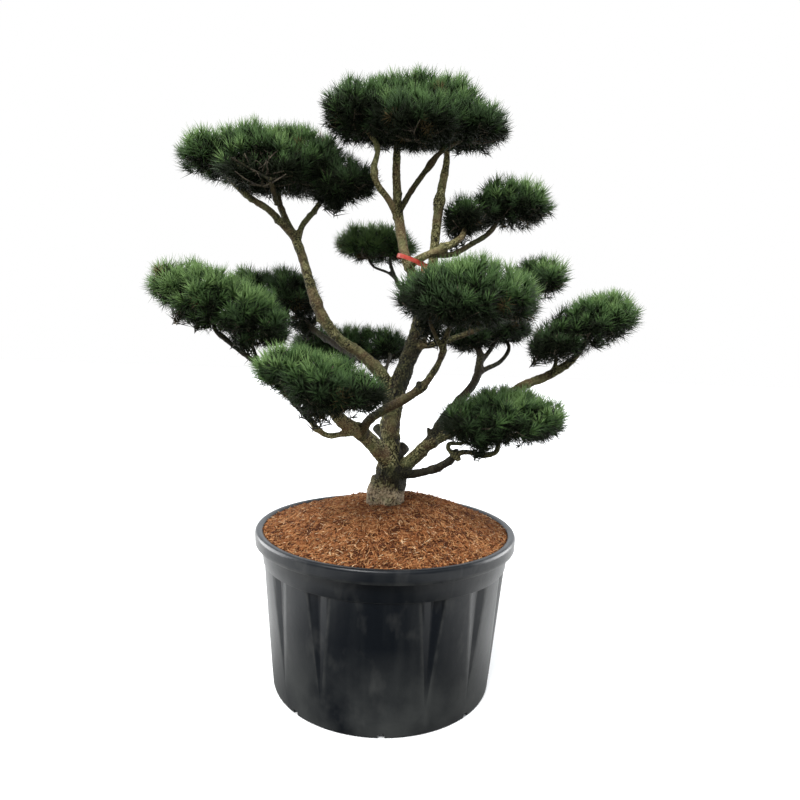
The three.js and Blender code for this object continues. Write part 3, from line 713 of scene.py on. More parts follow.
def tube(
    centres: np.ndarray,
    radii: np.ndarray,
    sides: int,
    warp: np.ndarray | None = None,
) -> tuple[np.ndarray, np.ndarray]:
    """Sweep a round section along a line and close its ends.

    Args:
        centres: The line's points.
        radii: The radius at each point.
        sides: The number of sides.
        warp: How much wider each corner of each ring is, as a factor.

    Returns:
        The vertices, and the faces as triangles.
    """
    count = len(centres)
    tangents = unit(np.gradient(centres, axis=0))
    nearly_along_x = abs(tangents[0][0]) > 0.9
    across = np.array([0.0, 1.0, 0.0] if nearly_along_x else [1.0, 0.0, 0.0])
    turns = 2 * math.pi * np.arange(sides) / sides
    rings = []
    for step in range(count):
        across = across - tangents[step] * np.dot(across, tangents[step])
        across /= np.linalg.norm(across)
        up = np.cross(tangents[step], across)
        reach = radii[step] * (np.ones(sides) if warp is None else warp[step])
        toward = np.cos(turns)[:, None] * across + np.sin(turns)[:, None] * up
        rings.append(centres[step] + reach[:, None] * toward)
    points = np.vstack(rings + [centres[:1], centres[-1:]])
    side = np.arange(sides)
    after = (side + 1) % sides
    top = (count - 1) * sides
    near_end = np.stack([np.full(sides, count * sides), after, side], axis=1)
    far_end = np.stack([np.full(sides, count * sides + 1), top + side, top + after], axis=1)
    return points, np.vstack([bands(sides, count), near_end, far_end])


def joined(parts: list[tuple[np.ndarray, np.ndarray]]) -> tuple[np.ndarray, np.ndarray]:
    """Put meshes together as one pair of arrays."""
    offsets = np.cumsum([0] + [len(points) for points, _ in parts[:-1]])
    points = np.vstack([points for points, _ in parts])
    faces = np.vstack([faces + offset for (_, faces), offset in zip(parts, offsets)])
    return points, faces


def hub(lobe: tuple) -> np.ndarray:
    """Return the place in a lobe where its stem ends and its twigs begin, in millimetres."""
    return np.array([lobe[0], lobe[1], lobe[2] - HUB_DROP * lobe[5]], float)


@dataclass
class Limb:
    """One limb of the tree: a smooth line in millimetres with its radii, swellings and tone."""

    plan: LimbPlan
    route: Route = field(init=False)

    COLLAR_REACH = 26.0
    COLLAR_SWELL = 0.12
    KNOT_SPREAD = 18.0
    SCAR_SPACING = 42.0
    SCAR_SWELL = 0.07
    TIP_FROM = 0.8
    TIP_SHARE = 0.55

    def __post_init__(self) -> None:
        """Run the limb on into the lobe that it feeds."""
        line = [point[:3] for point in self.plan.line]
        if self.plan.feeds:
            cloud, lobe = self.plan.feeds
            line.append(tuple(hub(CLOUDS[cloud].lobes[lobe])))
        self.route = Route(np.array(line, float))

    def radius(self, share: np.ndarray) -> np.ndarray:
        """Return the radius at shares of the length, with its branch collar, knots and bud scars."""
        plain = np.interp(share, np.linspace(0, 1, len(self.plan.radii)), self.plan.radii)
        along = share * self.route.length
        collar = 1 + self.COLLAR_SWELL * np.exp(-((along / self.COLLAR_REACH) ** 2))
        scars = 1 + self.SCAR_SWELL * np.clip(np.cos(2 * math.pi * along / self.SCAR_SPACING), 0, 1) ** 6
        tip = np.interp(share, [self.TIP_FROM, 1.0], [1.0, self.TIP_SHARE]) if self.plan.feeds else 1.0
        places = self.route.at(share)
        swelling = np.zeros(len(share))
        for x, y, z, height in self.plan.knots:
            spread = np.linalg.norm(places - np.array([x, y, z]), axis=1) / self.KNOT_SPREAD
            swelling += height * np.exp(-spread * spread)
        return plain * collar * scars * tip + swelling


@dataclass
class Trunk(Limb):
    """The trunk: one radius at each point of its line, and a burl with root ribs at its foot."""

    FLARE_TOP = 760.0
    FLARE_HEIGHT = 130.0
    RIBS = ((0.08, 3, 2.4), (0.05, 5, 0.0), (0.05, 8, 1.1))

    def radius(self, share: np.ndarray) -> np.ndarray:
        """Return the radius at shares of the length."""
        radii = list(self.plan.radii) + [self.plan.radii[-1] * self.TIP_SHARE]
        return np.interp(share, self.route.knots, radii)

    def ribs(self, heights: np.ndarray, turns: np.ndarray) -> np.ndarray:
        """Return how much wider the foot is at heights and turns, as a factor."""
        fade = np.clip((self.FLARE_TOP - heights) / self.FLARE_HEIGHT, 0, 1)
        return 1 + fade * sum(swell * np.cos(count * turns + start) for swell, count, start in self.RIBS)


@dataclass(frozen=True)
class BarkFinish:
    """Pine bark: dark furrows, grey-brown plates, brown and lichen patches, a burl pale with wear and painted
    highlight, and painted light and shade.
    """

    furrow: tuple = (0.022, 0.018, 0.011)
    plate: tuple = (0.24, 0.22, 0.1)
    crest: tuple = (0.62, 0.58, 0.32)
    lichen: tuple = (0.36, 0.4, 0.19)
    lichen_share: float = 0.45
    brown: tuple = (0.3, 0.19, 0.115)
    brown_share: float = 0.6
    shaded: tuple = (0.07, 0.07, 0.062)
    usual: tuple = (0.37, 0.37, 0.32)
    sunlit: tuple = (1.0, 0.99, 0.92)
    burl: tuple = (0.68, 0.53, 0.38)
    burl_span: tuple = (0.718, 0.69)
    burl_share: float = 0.85

    def material(self) -> bpy.types.Material:
        """Make the material."""
        paint = Paint("pine_bark", 0.9, self.plate, 0.25)
        lifted = paint.mixed(0.5, paint.attribute("relief"), paint.noise(210, 5))
        colour = paint.ramp(lifted, ((0.41, self.furrow), (0.5, self.plate), (0.62, self.crest)))
        warm = paint.grade(paint.noise(13, 4), 0.46, 0.6)
        colour = paint.mixed(paint.times(warm, self.brown_share), colour, self.brown)
        moss = paint.grade(paint.noise(16, 4), 0.5, 0.66)
        colour = paint.mixed(paint.times(moss, self.lichen_share), colour, self.lichen)
        # Pale burl on the raised crests: partly worn grey wood, partly painted highlight
        worn_and_lit = paint.times(paint.grade(paint.axes()["Z"], *self.burl_span), paint.grade(lifted, 0.3, 0.52))
        worn_and_lit = paint.times(worn_and_lit, paint.grade(paint.noise(28, 4), 0.3, 0.5))
        colour = paint.mixed(paint.times(worn_and_lit, self.burl_share), colour, self.burl)
        # Painted light and shade: the tone attribute darkens shaded limbs and lightens sunlit ones
        lights = ((0.0, self.shaded), (0.5, self.usual), (1.0, self.sunlit))
        light = paint.ramp(paint.attribute("tone"), lights)
        paint.wire(paint.mixed(1.0, colour, light, "MULTIPLY"), "Base Color")
        paint.relief(paint.noise(95, 6), 0.006)
        paint.relief(paint.cells(140, paint.stretched((1, 1, 0.45))), 0.002, 0.6)
        return paint.material


@dataclass
class Wood:
    """The trunk and boughs as one mesh with smooth forks and the bark's relief.

    Attributes:
        voxel: The size of the voxels that fuse the limbs.
        ring_step: The distance between a limb's rings.
        sample_step: The distance between the places where a limb's size and tone are looked up.
        pattern_step: How far each limb's bark pattern is moved on from the one before.
        trunk_painted_light: The painted light and shade on the trunk's bark at heights, darkest in the shade
            below the boughs and the clouds.
        plates_across: How many bark plates the radius takes up.
        plate_size: The least and most size of a plate.
        plate_stretch: How much longer than wide the plates are.
        plate_share: How much of the relief is plates, the rest being fine grain.
        edge: How steep the plates' edges are.
        level: The relief that lies on the limb's own radius.
        even: The relief that thin, smooth wood shows in its colour.
        rough_radius: The radius from which the bark shows its full relief in its colour.
        relief_share: The depth of the relief as a share of the radius.
        relief_most: The deepest relief.
        lump_size: The size of the swellings along a limb.
        lump_share: Their height as a share of the radius.
        burl_top: The height under which the bark's pattern is knobbly.
        burl_grain: The size of that pattern.
        burl_fade: The heights over which the burl's own lumps fade out.
        burl_heights: The height of the burl's lumps and of their grain.
        softening: How strongly and how often the fused limbs are smoothed.
        knobs: How many small knobs there are.
        knob_height: Their least and most height.
        knob_spread: Their least and most spread.
    """

    voxel: float = 4.0
    ring_step: float = 6.0
    sample_step: float = 5.0
    trunk_sides: int = 40
    limb_sides: int = 20
    pattern_step: float = 977.0
    trunk_painted_light: tuple = (
        (640, 1.0), (695, 0.95), (722, 0.45), (745, 0.2), (790, 0.3), (840, 0.55),
        (950, 0.5), (1010, 0.25), (1060, 0.08), (1230, 0.06), (1300, 0.4), (1370, 1.0),
    )
    plates_across: float = 4.4
    plate_size: tuple = (4.5, 8.0)
    plate_stretch: float = 2.1
    plate_share: float = 0.65
    edge: float = 2.2
    level: float = 0.45
    even: float = 0.52
    rough_radius: float = 30.0
    relief_share: float = 0.14
    relief_most: float = 6.5
    lump_size: float = 30.0
    lump_share: float = 0.1
    burl_top: float = 705.0
    burl_grain: float = 10.0
    burl_fade: tuple = (640.0, 770.0)
    burl_heights: tuple = (4.5, 2.5)
    softening: tuple = (0.5, 3)
    knobs: int = 190
    knob_height: tuple = (2.0, 7.5)
    knob_spread: tuple = (4.5, 9.0)
    finish: BarkFinish = field(default_factory=BarkFinish)

    DRIFT = np.array([0.8, 0.33, 0.5])
    GRAIN = 2.7
    # How much more painted light the limbs' swellings get
    LUMP_PAINTED_LIGHT = 0.12
    # Knobs grow on limbs over this radius and height, and are full-sized from a radius on
    KNOBS_FROM = (8, 660)
    KNOB_FULL = 16
    KNOB_WIDENING = 60

    def __post_init__(self) -> None:
        """Lay out the trunk and its limbs."""
        radii = tuple(row[3] for row in TRUNK)
        self.trunk = Trunk(LimbPlan(TRUNK, radii, feeds=("top_cloud", 1), tone=None))
        self.limbs = [self.trunk] + [Limb(plan) for plan in LIMBS.values()]
        for start, end, radius, tone in SPURS:
            self.limbs.append(Limb(LimbPlan((start, end), (radius, radius), tone=tone)))
        self.samples, self.sizes, self.tones, self.alongs, self.tangents = self._sampled()
        self.tree = tree_of(self.samples)

    def _sampled(self) -> tuple:
        """Return places, radii, painted light, lengths and directions along every limb, every few
        millimetres.
        """
        rows = []
        for index, limb in enumerate(self.limbs):
            shares = np.linspace(0, 1, max(4, int(limb.route.length / self.sample_step)))
            places = limb.route.at(shares)
            if limb.plan.tone is None:
                tones = np.interp(places[:, 2], *zip(*self.trunk_painted_light))
            else:
                tones = np.full(len(shares), limb.plan.tone.value)
            alongs = shares * limb.route.length + self.pattern_step * index
            rows.append((places, limb.radius(shares), tones, alongs, limb.route.tangent(shares)))
        return tuple(np.concatenate(column) for column in zip(*rows))

    def _fused(self) -> bpy.types.Object:
        """Return every limb as a closed tube, all fused into one smooth body."""
        parts = []
        for limb in self.limbs:
            shares = np.linspace(0, 1, max(4, int(limb.route.length / self.ring_step)))
            centres, sides, ribs = limb.route.at(shares), self.limb_sides, None
            if limb is self.trunk:
                sides = self.trunk_sides
                ribs = limb.ribs(centres[:, 2:3], 2 * math.pi * np.arange(sides) / sides)
            parts.append(tube(centres, limb.radius(shares), sides, ribs))
        points, faces = joined(parts)
        piece = mesh_piece("bark", points * MM, faces)
        select_only(piece)
        apply_modifier(piece, "REMESH", mode="VOXEL", voxel_size=self.voxel * MM, use_smooth_shade=True)
        factor, times = self.softening
        apply_modifier(piece, "SMOOTH", factor=factor, iterations=times)
        return piece

    def _textured(self, piece: bpy.types.Object) -> None:
        """Raise the bark's plates and keep their height and painted light on the mesh for the finish."""
        mesh = piece.data
        count = len(mesh.vertices)
        places = np.empty(count * 3, np.float32)
        normals = np.empty(count * 3, np.float32)
        mesh.vertices.foreach_get("co", places)
        mesh.vertex_normals.foreach_get("vector", normals)
        places = places.reshape(-1, 3).astype(float) / MM
        normals = normals.reshape(-1, 3).astype(float)
        nearest = np.array([self.tree.find(Vector(place))[1] for place in places])
        offset = places - self.samples[nearest]
        radius = self.sizes[nearest]
        along = self.alongs[nearest] + np.einsum("ij,ij->i", offset, self.tangents[nearest])
        coarse = np.clip(radius / self.plates_across, *self.plate_size)
        spot = offset / coarse[:, None] + (along / (self.plate_stretch * coarse))[:, None] * self.DRIFT
        knobbly = places[:, 2] < self.burl_top
        spot[knobbly] = places[knobbly] / self.burl_grain
        cells = np.array([noise.voronoi(Vector(here))[0][:2] for here in spot])
        plates = np.minimum(1.0, (cells[:, 1] - cells[:, 0]) * self.edge)
        lumps = noise_at(places, self.lump_size)
        grain = np.array([noise.noise(Vector(here) * self.GRAIN) for here in spot])
        rough = plates * self.plate_share + (1 - self.plate_share) * (0.5 + 0.5 * grain)
        shown = self.even + (rough - self.even) * np.clip(radius / self.rough_radius, 0.5, 1)
        deep = np.minimum(self.relief_most, radius * self.relief_share)
        burl = np.interp(places[:, 2], self.burl_fade, (1, 0))
        lift = deep * (rough - self.level) + self.lump_share * radius * lumps + self._knobs(places)
        lift += burl * (self.burl_heights[0] * lumps + self.burl_heights[1] * grain)
        places += normals * lift[:, None]
        mesh.vertices.foreach_set("co", (places * MM).astype(np.float32).ravel())
        # Painted light: the limb's own level, lighter on its swellings
        bright = self.tones[nearest] + self.LUMP_PAINTED_LIGHT * lumps
        for name, values in (("relief", shown), ("tone", bright)):
            kept = mesh.attributes.new(name, "FLOAT", "POINT")
            kept.data.foreach_set("value", np.clip(values, 0, 1).astype(np.float32))
        mesh.update()

    def _knobs(self, places: np.ndarray) -> np.ndarray:
        """Return how far small knobs stand out at places in millimetres."""
        draw = np.random.default_rng(5)
        least, lowest = self.KNOBS_FROM
        stout = np.flatnonzero((self.sizes > least) & (self.samples[:, 2] > lowest))
        lift = np.zeros(len(places))
        for sample in draw.choice(stout, self.knobs):
            side = unit(np.cross(self.tangents[sample], draw.normal(0, 1, 3)))
            middle = self.samples[sample] + side * self.sizes[sample]
            spread = draw.uniform(*self.knob_spread) * (1 + self.sizes[sample] / self.KNOB_WIDENING)
            height = draw.uniform(*self.knob_height) * min(1.0, self.sizes[sample] / self.KNOB_FULL)
            lift += height * np.exp(-(((places - middle) / spread) ** 2).sum(axis=1))
        return lift

    def near(self, points: np.ndarray, clearance: float) -> np.ndarray:
        """Return which points, in millimetres, lie nearer than a clearance to any limb's surface."""
        found = np.array([self.tree.find(Vector(point))[1:] for point in points]).reshape(-1, 2)
        return found[:, 1] < self.sizes[found[:, 0].astype(int)] + clearance

    def build(self) -> None:
        """Make the bark mesh in place of the trunk and every bough."""
        piece = self._fused()
        self._textured(piece)
        piece.data.materials.clear()
        seat(piece, "bark", [self.finish.material()], "trunk", *LIMBS)


class NeedleTone(Enum):
    """The plain colours that sprays of needles are dealt, by material slot number and base colour: lit and
    shaded greens that paint the clouds' light and shade, and straw for dead needles.
    """

    FRESH = (0, (0.17, 0.276, 0.094))
    GREEN = (1, (0.086, 0.156, 0.052))
    DEEP = (2, (0.047, 0.083, 0.033))
    SHADE = (3, (0.015, 0.021, 0.01))
    STRAW = (4, (0.13, 0.095, 0.042))

    @property
    def slot(self) -> int:
        """Return the material slot's number."""
        return self.value[0]


@dataclass(frozen=True)
class NeedleFinish:
    """Stiff pine needles: plain greens, lit and shaded ones as painted light and shade, with a faint sheen.
    """

    roughness: float = 0.45
    shine: float = 0.06

    def materials(self) -> list[bpy.types.Material]:
        """Make one plain material for each tone, in slot order."""
        return [
            Paint(f"needles_{tone.name.lower()}", self.roughness, tone.value[1], self.shine).material
            for tone in NeedleTone
        ]


@dataclass(frozen=True)
class TwigFinish:
    """Thin grey-brown twigs, darker and paler in patches."""

    dark: tuple = (0.03, 0.022, 0.014)
    pale: tuple = (0.15, 0.12, 0.08)

    def material(self) -> bpy.types.Material:
        """Make the material."""
        paint = Paint("twig_bark", 0.85, self.dark)
        paint.wire(paint.ramp(paint.noise(60, 4), ((0.35, self.dark), (0.65, self.pale))), "Base Color")
        paint.relief(paint.noise(240, 3), 0.001)
        return paint.material


@dataclass(frozen=True)
class ShootKind:
    """How one kind of shoot is made.

    Attributes:
        per_m2: Shoots for each square metre of a lobe's surface.
        highest: The highest rise of their places, 1 being a lobe's top.
        lowest: The lowest rise of their places, -1 being a lobe's bottom.
        size: The share of a lobe's size at which they end.
        needles: Needles on each shoot.
        length: A shoot's own length in millimetres.
        needle: A needle's length in millimetres.
        width: The distance of a needle's root corners from its middle, in millimetres.
        lift: How much the shoots turn up, from 0 for straight out to 1 for straight up.
    """

    per_m2: float
    highest: float
    lowest: float
    size: float
    needles: int
    length: float
    needle: float
    width: float
    lift: float

    @property
    def outermost(self) -> bool:
        """Return whether the shoots end on the lobes' own surface."""
        return self.size == 1.0


@dataclass
class Shoots:
    """Shoots of one kind: their roots, directions, sizes and tones, in millimetres."""

    kind: ShootKind
    roots: np.ndarray
    axes: np.ndarray
    sizes: np.ndarray
    tones: np.ndarray
    seed: int

    # A needle's angle from its shoot, at the shoot's foot and at its tip, and how it changes between
    SPLAY_LOW = math.radians(70)
    SPLAY_TOP = math.radians(18)
    SPLAY_CURVE = 1.1
    SPLAY_SPREAD = 0.12
    FIRST_TURN = (0.0, 6.28)
    TURN_SPREAD = 0.25
    RISE = 0.07
    BARE_FOOT = 0.12
    LENGTHS = (0.78, 1.12)
    # The share of a shoot whose needles are a year older and two tones darker: darker for their age, and
    # painted shade deep in the shoot
    OLD_SHADED_SHARE = 0.42
    OLD_SHADE_STEPS = 2
    SIDEWAYS = np.array([0.31, 0.83, 0.46])
    SPIKE = ((0, 1, 3), (1, 2, 3), (2, 0, 3), (0, 2, 1))

    def needles(self) -> tuple[np.ndarray, np.ndarray, np.ndarray]:
        """Return the shoots' needles as slim closed spikes: vertices, faces and slots."""
        count, each = len(self.roots), self.kind.needles
        draw = np.random.default_rng(self.seed)
        side = unit(np.cross(self.axes, self.SIDEWAYS))
        up = np.cross(self.axes, side)
        share = (np.arange(each) + 0.5) / each
        turn = np.arange(each)[None, :] * GOLDEN_ANGLE + draw.uniform(*self.FIRST_TURN, (count, 1))
        turn = turn + draw.normal(0, self.TURN_SPREAD, (count, each))
        splay = self.SPLAY_LOW + (self.SPLAY_TOP - self.SPLAY_LOW) * share**self.SPLAY_CURVE
        splay = splay[None, :] + draw.normal(0, self.SPLAY_SPREAD, (count, each))
        around = np.cos(turn)[..., None] * side[:, None] + np.sin(turn)[..., None] * up[:, None]
        ahead = np.cos(splay)[..., None] * self.axes[:, None] + np.sin(splay)[..., None] * around
        ahead[..., 2] += self.RISE
        ahead = unit(ahead)
        place = self.BARE_FOOT + (1 - self.BARE_FOOT) * share
        reach = (self.kind.length * self.sizes)[:, None] * place[None, :]
        root = self.roots[:, None] + self.axes[:, None] * reach[..., None]
        long = self.kind.needle * self.sizes[:, None] * draw.uniform(*self.LENGTHS, (count, each))
        tip = root + ahead * long[..., None]
        flat = unit(np.cross(ahead, draw.normal(0, 1, (count, each, 3))))
        other = np.cross(ahead, flat)
        angles = [2 * math.pi * corner / 3 for corner in range(3)]
        wide = [math.cos(angle) * flat + math.sin(angle) * other for angle in angles]
        foot = [root + self.kind.width * corner for corner in wide]
        points = np.stack(foot + [tip], axis=2).reshape(-1, 3)
        faces = copied(self.SPIKE, 4, count * each)
        darker = np.minimum(self.tones + self.OLD_SHADE_STEPS, NeedleTone.SHADE.slot)
        old_and_shaded = np.where(self.tones < NeedleTone.SHADE.slot, darker, self.tones)
        tones = np.where(share[None, :] < self.OLD_SHADED_SHARE, old_and_shaded[:, None], self.tones[:, None])
        return points, faces, np.repeat(tones.ravel(), len(self.SPIKE))


@dataclass
class Cloud:
    """One cloud: branchlets from each lobe's hub, a twig to each shoot, and the shoots' needles."""

    name: str
    plan: CloudPlan
    seed: int
    others: tuple

    OUTER = ShootKind(720, 1.0, -0.45, 1.0, 32, 36, 50, 1.8, 0.24)
    UNDER = ShootKind(760, -0.45, -0.97, 1.0, 12, 22, 34, 1.5, 0.3)
    INNER = ShootKind(560, 0.95, -0.7, 0.64, 18, 50, 54, 2.4, 0.25)
    # How far a shoot's tip may lie in another lobe, and how far it stays off limbs and other clouds
    HIDDEN_DEPTH = 26.0
    LIMB_CLEAR = 7.0
    CLOUD_CLEAR = 2.0
    # Creases between lobes: how wide they are filled, how often and how far shoots move out to the filling
    BLEND = 20.0
    PULLS = 3
    PULL = 0.8
    # Hollows in the surface, and how far shoots stand proud of it, more on top and less on the underside
    HOLLOWS = 30.0
    HOLLOW_SIZE = 62.0
    HOLLOW_LEVEL = 0.25
    UNEVEN = 10.0
    PROUD = 14.0
    PROUD_TOP = 0.3
    HANG = 1.1
    # How far shoots stray in place and in direction, their sizes, and the needles' part of their reach
    STRAY = 0.045
    SWAY = 0.13
    SIZES = (0.82, 1.1)
    NEEDLE_REACH = 0.93
    # What gives a shoot painted light: its rise, its height, its distance from the trunk, a random patch, and
    # chance
    LIT_RISE = 0.62
    LIT_HEIGHT = 0.6
    LIT_OUTWARD = 0.36
    OUTWARD_REACH = 200.0
    LIT_PATCH = 0.45
    PATCH_SIZE = 60.0
    LIT_CHANCE = 0.38
    # What gives it painted shade: the cloud's own painted shade, a place inside the cloud, and a hollow
    # nearby
    DARK_SHADE = 0.4
    DARK_INSIDE = 0.8
    DARK_ALL = 0.04
    DARK_HOLLOW = 1.2
    HOLLOW_REACH = 2.2
    HOLLOW_RISE = 60.0
    LIGHT_FROM = ((NeedleTone.DEEP, -0.36), (NeedleTone.GREEN, 0.12), (NeedleTone.FRESH, 0.6))
    # Straw-coloured shoots: the rise that they are more common under, and their share under and over it
    STRAW_RISE = -0.2
    STRAW_SHARES = (0.03, 0.007)
    # Branchlets: how many to a square metre of a lobe, the band they reach, how far, their bend and sag
    BRANCHLETS_PER_M2 = 85.0
    BRANCHLET_BAND = (0.95, -0.5)
    BRANCHLET_REACH = (0.5, 0.2)
    BRANCHLET_BEND = 26.0
    BRANCHLET_SAG = 6.0
    # The low, bare twigs of a lobe taller than a tuft, as shares of the lobe, and the sag of links to it
    TUFT = 60.0
    BARE_TWIGS = 5
    BARE_REACH = 0.8
    BARE_DROP = 0.3
    BARE_FOOT = 0.52
    BARE_SAG = 0.06
    BARE_BEND = 8
    LINK_SAG = 9.0
    # Their radii at the foot and at the tip, with their sides, and a shoot's own twig
    BRANCHLET = (4.2, 1.8, 4)
    BARE_TWIG = (3.8, 1.2, 5)
    LINK = (5.5, 5.5, 5)
    TWIG_RADII = np.array([1.7, 1.5, 0.8])

    def _half(self, lobe: tuple, rise: np.ndarray, size: float) -> np.ndarray:
        """Return a lobe's half sizes towards rises, scaled."""
        tall = np.where(rise < 0, UNDERSIDE, 1.0) * lobe[5]
        wide = np.broadcast_to(np.array([lobe[3], lobe[4]], float), (len(rise), 2))
        return np.column_stack([wide, tall]) * size

    def _inside(self, points: np.ndarray, lobe: tuple, margin: float) -> np.ndarray:
        """Return which points lie in a lobe made smaller by a margin."""
        offset = points - np.array(lobe[:3])
        half = self._half(lobe, offset[:, 2], 1.0) - margin
        return ((offset / half) ** 2).sum(axis=1) < 1

    def _depth(self, points: np.ndarray) -> np.ndarray:
        """Return how deep points lie in the whole cloud, with the creases between its lobes filled."""
        total = np.zeros(len(points))
        for lobe in self.plan.lobes:
            offset = points - np.array(lobe[:3])
            half = self._half(lobe, offset[:, 2], 1.0)
            apart = (np.linalg.norm(offset / half, axis=1) - 1) * half.mean(axis=1)
            total += np.exp(-apart / self.BLEND)
        return self.BLEND * np.log(total)

    def _spread(self, lobe: tuple, index: int, per_m2: float, highest: float, lowest: float) -> np.ndarray:
        """Return golden-angle directions over a band of a lobe."""
        area = 4 * math.pi * lobe[3] * (lobe[4] + lobe[5]) / 2 * 1e-6
        count = max(3, int(area * per_m2 * (highest - lowest) / 2))
        order = np.arange(count)
        turn = order * GOLDEN_ANGLE + self.seed + index
        rise = highest - (order + 0.5) / count * (highest - lowest)
        flat = np.sqrt(1 - rise * rise)
        return np.column_stack([flat * np.cos(turn), flat * np.sin(turn), rise])

    def _kept(
        self,
        kind: ShootKind,
        lobe: tuple,
        root: np.ndarray,
        tip: np.ndarray,
        wood: Wood,
    ) -> np.ndarray:
        """Return which shoots stay clear of other lobes and clouds, of the hollow and of the limbs.

        Args:
            kind: The kind of shoot.
            lobe: The lobe that they grow on.
            root: Their roots.
            tip: Their tips.
            wood: The trunk and boughs.

        Returns:
            True for each shoot that is kept.
        """
        keep = np.ones(len(tip), bool)
        for other in self.plan.lobes if kind.outermost else ():
            if other is not lobe:
                keep &= ~self._inside(tip, other, self.HIDDEN_DEPTH)
        for other in self.others:
            keep &= ~self._inside(tip, other, -self.CLOUD_CLEAR)
        if self.plan.hollow:
            keep &= np.linalg.norm(tip - self.plan.hollow[:3], axis=1) > self.plan.hollow[3]
        for place in (tip, root * 0.4 + tip * 0.6):
            keep &= ~wood.near(place, self.LIMB_CLEAR)
        return keep

    def shoots(self, kind: ShootKind, wood: Wood) -> Shoots:
        """Place shoots of one kind over every lobe and leave out those that would stray.

        Args:
            kind: The kind of shoot.
            wood: The trunk and boughs, which shoots stay clear of.

        Returns:
            The shoots that are left.
        """
        rows = []
        for index, lobe in enumerate(self.plan.lobes):
            toward = self._spread(lobe, index, kind.per_m2, kind.highest, kind.lowest)
            draw = np.random.default_rng(self.seed * 100 + index * 10 + kind.needles)
            toward = unit(toward + draw.normal(0, self.STRAY, toward.shape))
            rise = toward[:, 2]
            half = self._half(lobe, rise, kind.size)
            surface = np.array(lobe[:3]) + half * toward
            outward = unit(toward / half)
            for _ in range(self.PULLS if kind.outermost else 0):
                surface = surface + outward * self._depth(surface)[:, None] * self.PULL
            dent = self.HOLLOWS * np.clip(self.HOLLOW_LEVEL - noise_at(surface, self.HOLLOW_SIZE), 0, 1)
            proud = self.PROUD * (1 + np.where(rise > 0, self.PROUD_TOP, -self.HANG) * rise)
            dent = dent + draw.uniform(0, self.UNEVEN, len(toward)) - proud
            upward = outward * (1 - kind.lift) + np.array([0, 0, kind.lift])
            axis = unit(upward + draw.normal(0, self.SWAY, toward.shape))
            size = draw.uniform(*self.SIZES, len(toward))
            full = size * (kind.length + self.NEEDLE_REACH * kind.needle)
            root = surface - outward * dent[:, None] - axis * full[:, None]
            tip = root + axis * (kind.length * size)[:, None]
            keep = self._kept(kind, lobe, root, tip, wood)
            tones = self._tones(rise[keep], surface[keep], kind, draw)
            rows.append((root[keep], axis[keep], size[keep], tones))
        return Shoots(kind, *(np.concatenate(column) for column in zip(*rows)), self.seed)

    def _tones(
        self,
        rise: np.ndarray,
        places: np.ndarray,
        kind: ShootKind,
        draw: np.random.Generator,
    ) -> np.ndarray:
        """Deal each shoot its colour as painted light: lit on the domes and away from the trunk, painted
        shade below and inside.

        Args:
            rise: How far up each shoot stands on its lobe, from -1 to 1.
            places: Where the shoots stand, in millimetres.
            kind: The kind of shoot.
            draw: The random numbers to deal with.

        Returns:
            The material slot of each shoot.
        """
        lowest = min(lobe[2] - UNDERSIDE * lobe[5] for lobe in self.plan.lobes)
        highest = max(lobe[2] + lobe[5] for lobe in self.plan.lobes)
        share = (places[:, 2] - lowest) / (highest - lowest)
        left = min(lobe[0] - lobe[3] for lobe in self.plan.lobes)
        right = max(lobe[0] + lobe[3] for lobe in self.plan.lobes)
        middle = (left + right) / 2
        outward = (places[:, 0] - middle) / (right - middle) * np.clip(middle / self.OUTWARD_REACH, -1, 1)
        light = self.LIT_RISE * rise + self.LIT_HEIGHT * (share - 0.5) + self.LIT_OUTWARD * outward
        light = light + self.LIT_PATCH * noise_at(places, self.PATCH_SIZE) - self.DARK_SHADE * self.plan.shade
        light = light + draw.uniform(-self.LIT_CHANCE, self.LIT_CHANCE, len(rise))
        light = light - (0.0 if kind.outermost else self.DARK_INSIDE) - self.DARK_ALL
        if self.plan.hollow:
            apart = np.linalg.norm(places - self.plan.hollow[:3], axis=1) / self.plan.hollow[3]
            low = places[:, 2] < self.plan.hollow[2] + self.HOLLOW_RISE
            light = light - self.DARK_HOLLOW * np.clip(self.HOLLOW_REACH - apart, 0, 1) * low
        tones = np.full(len(rise), NeedleTone.SHADE.slot)
        for tone, least in self.LIGHT_FROM:
            tones[light > least] = tone.slot
        straw = draw.uniform(0, 1, len(rise)) < np.where(rise < self.STRAW_RISE, *self.STRAW_SHARES)
        tones[straw] = NeedleTone.STRAW.slot
        return tones

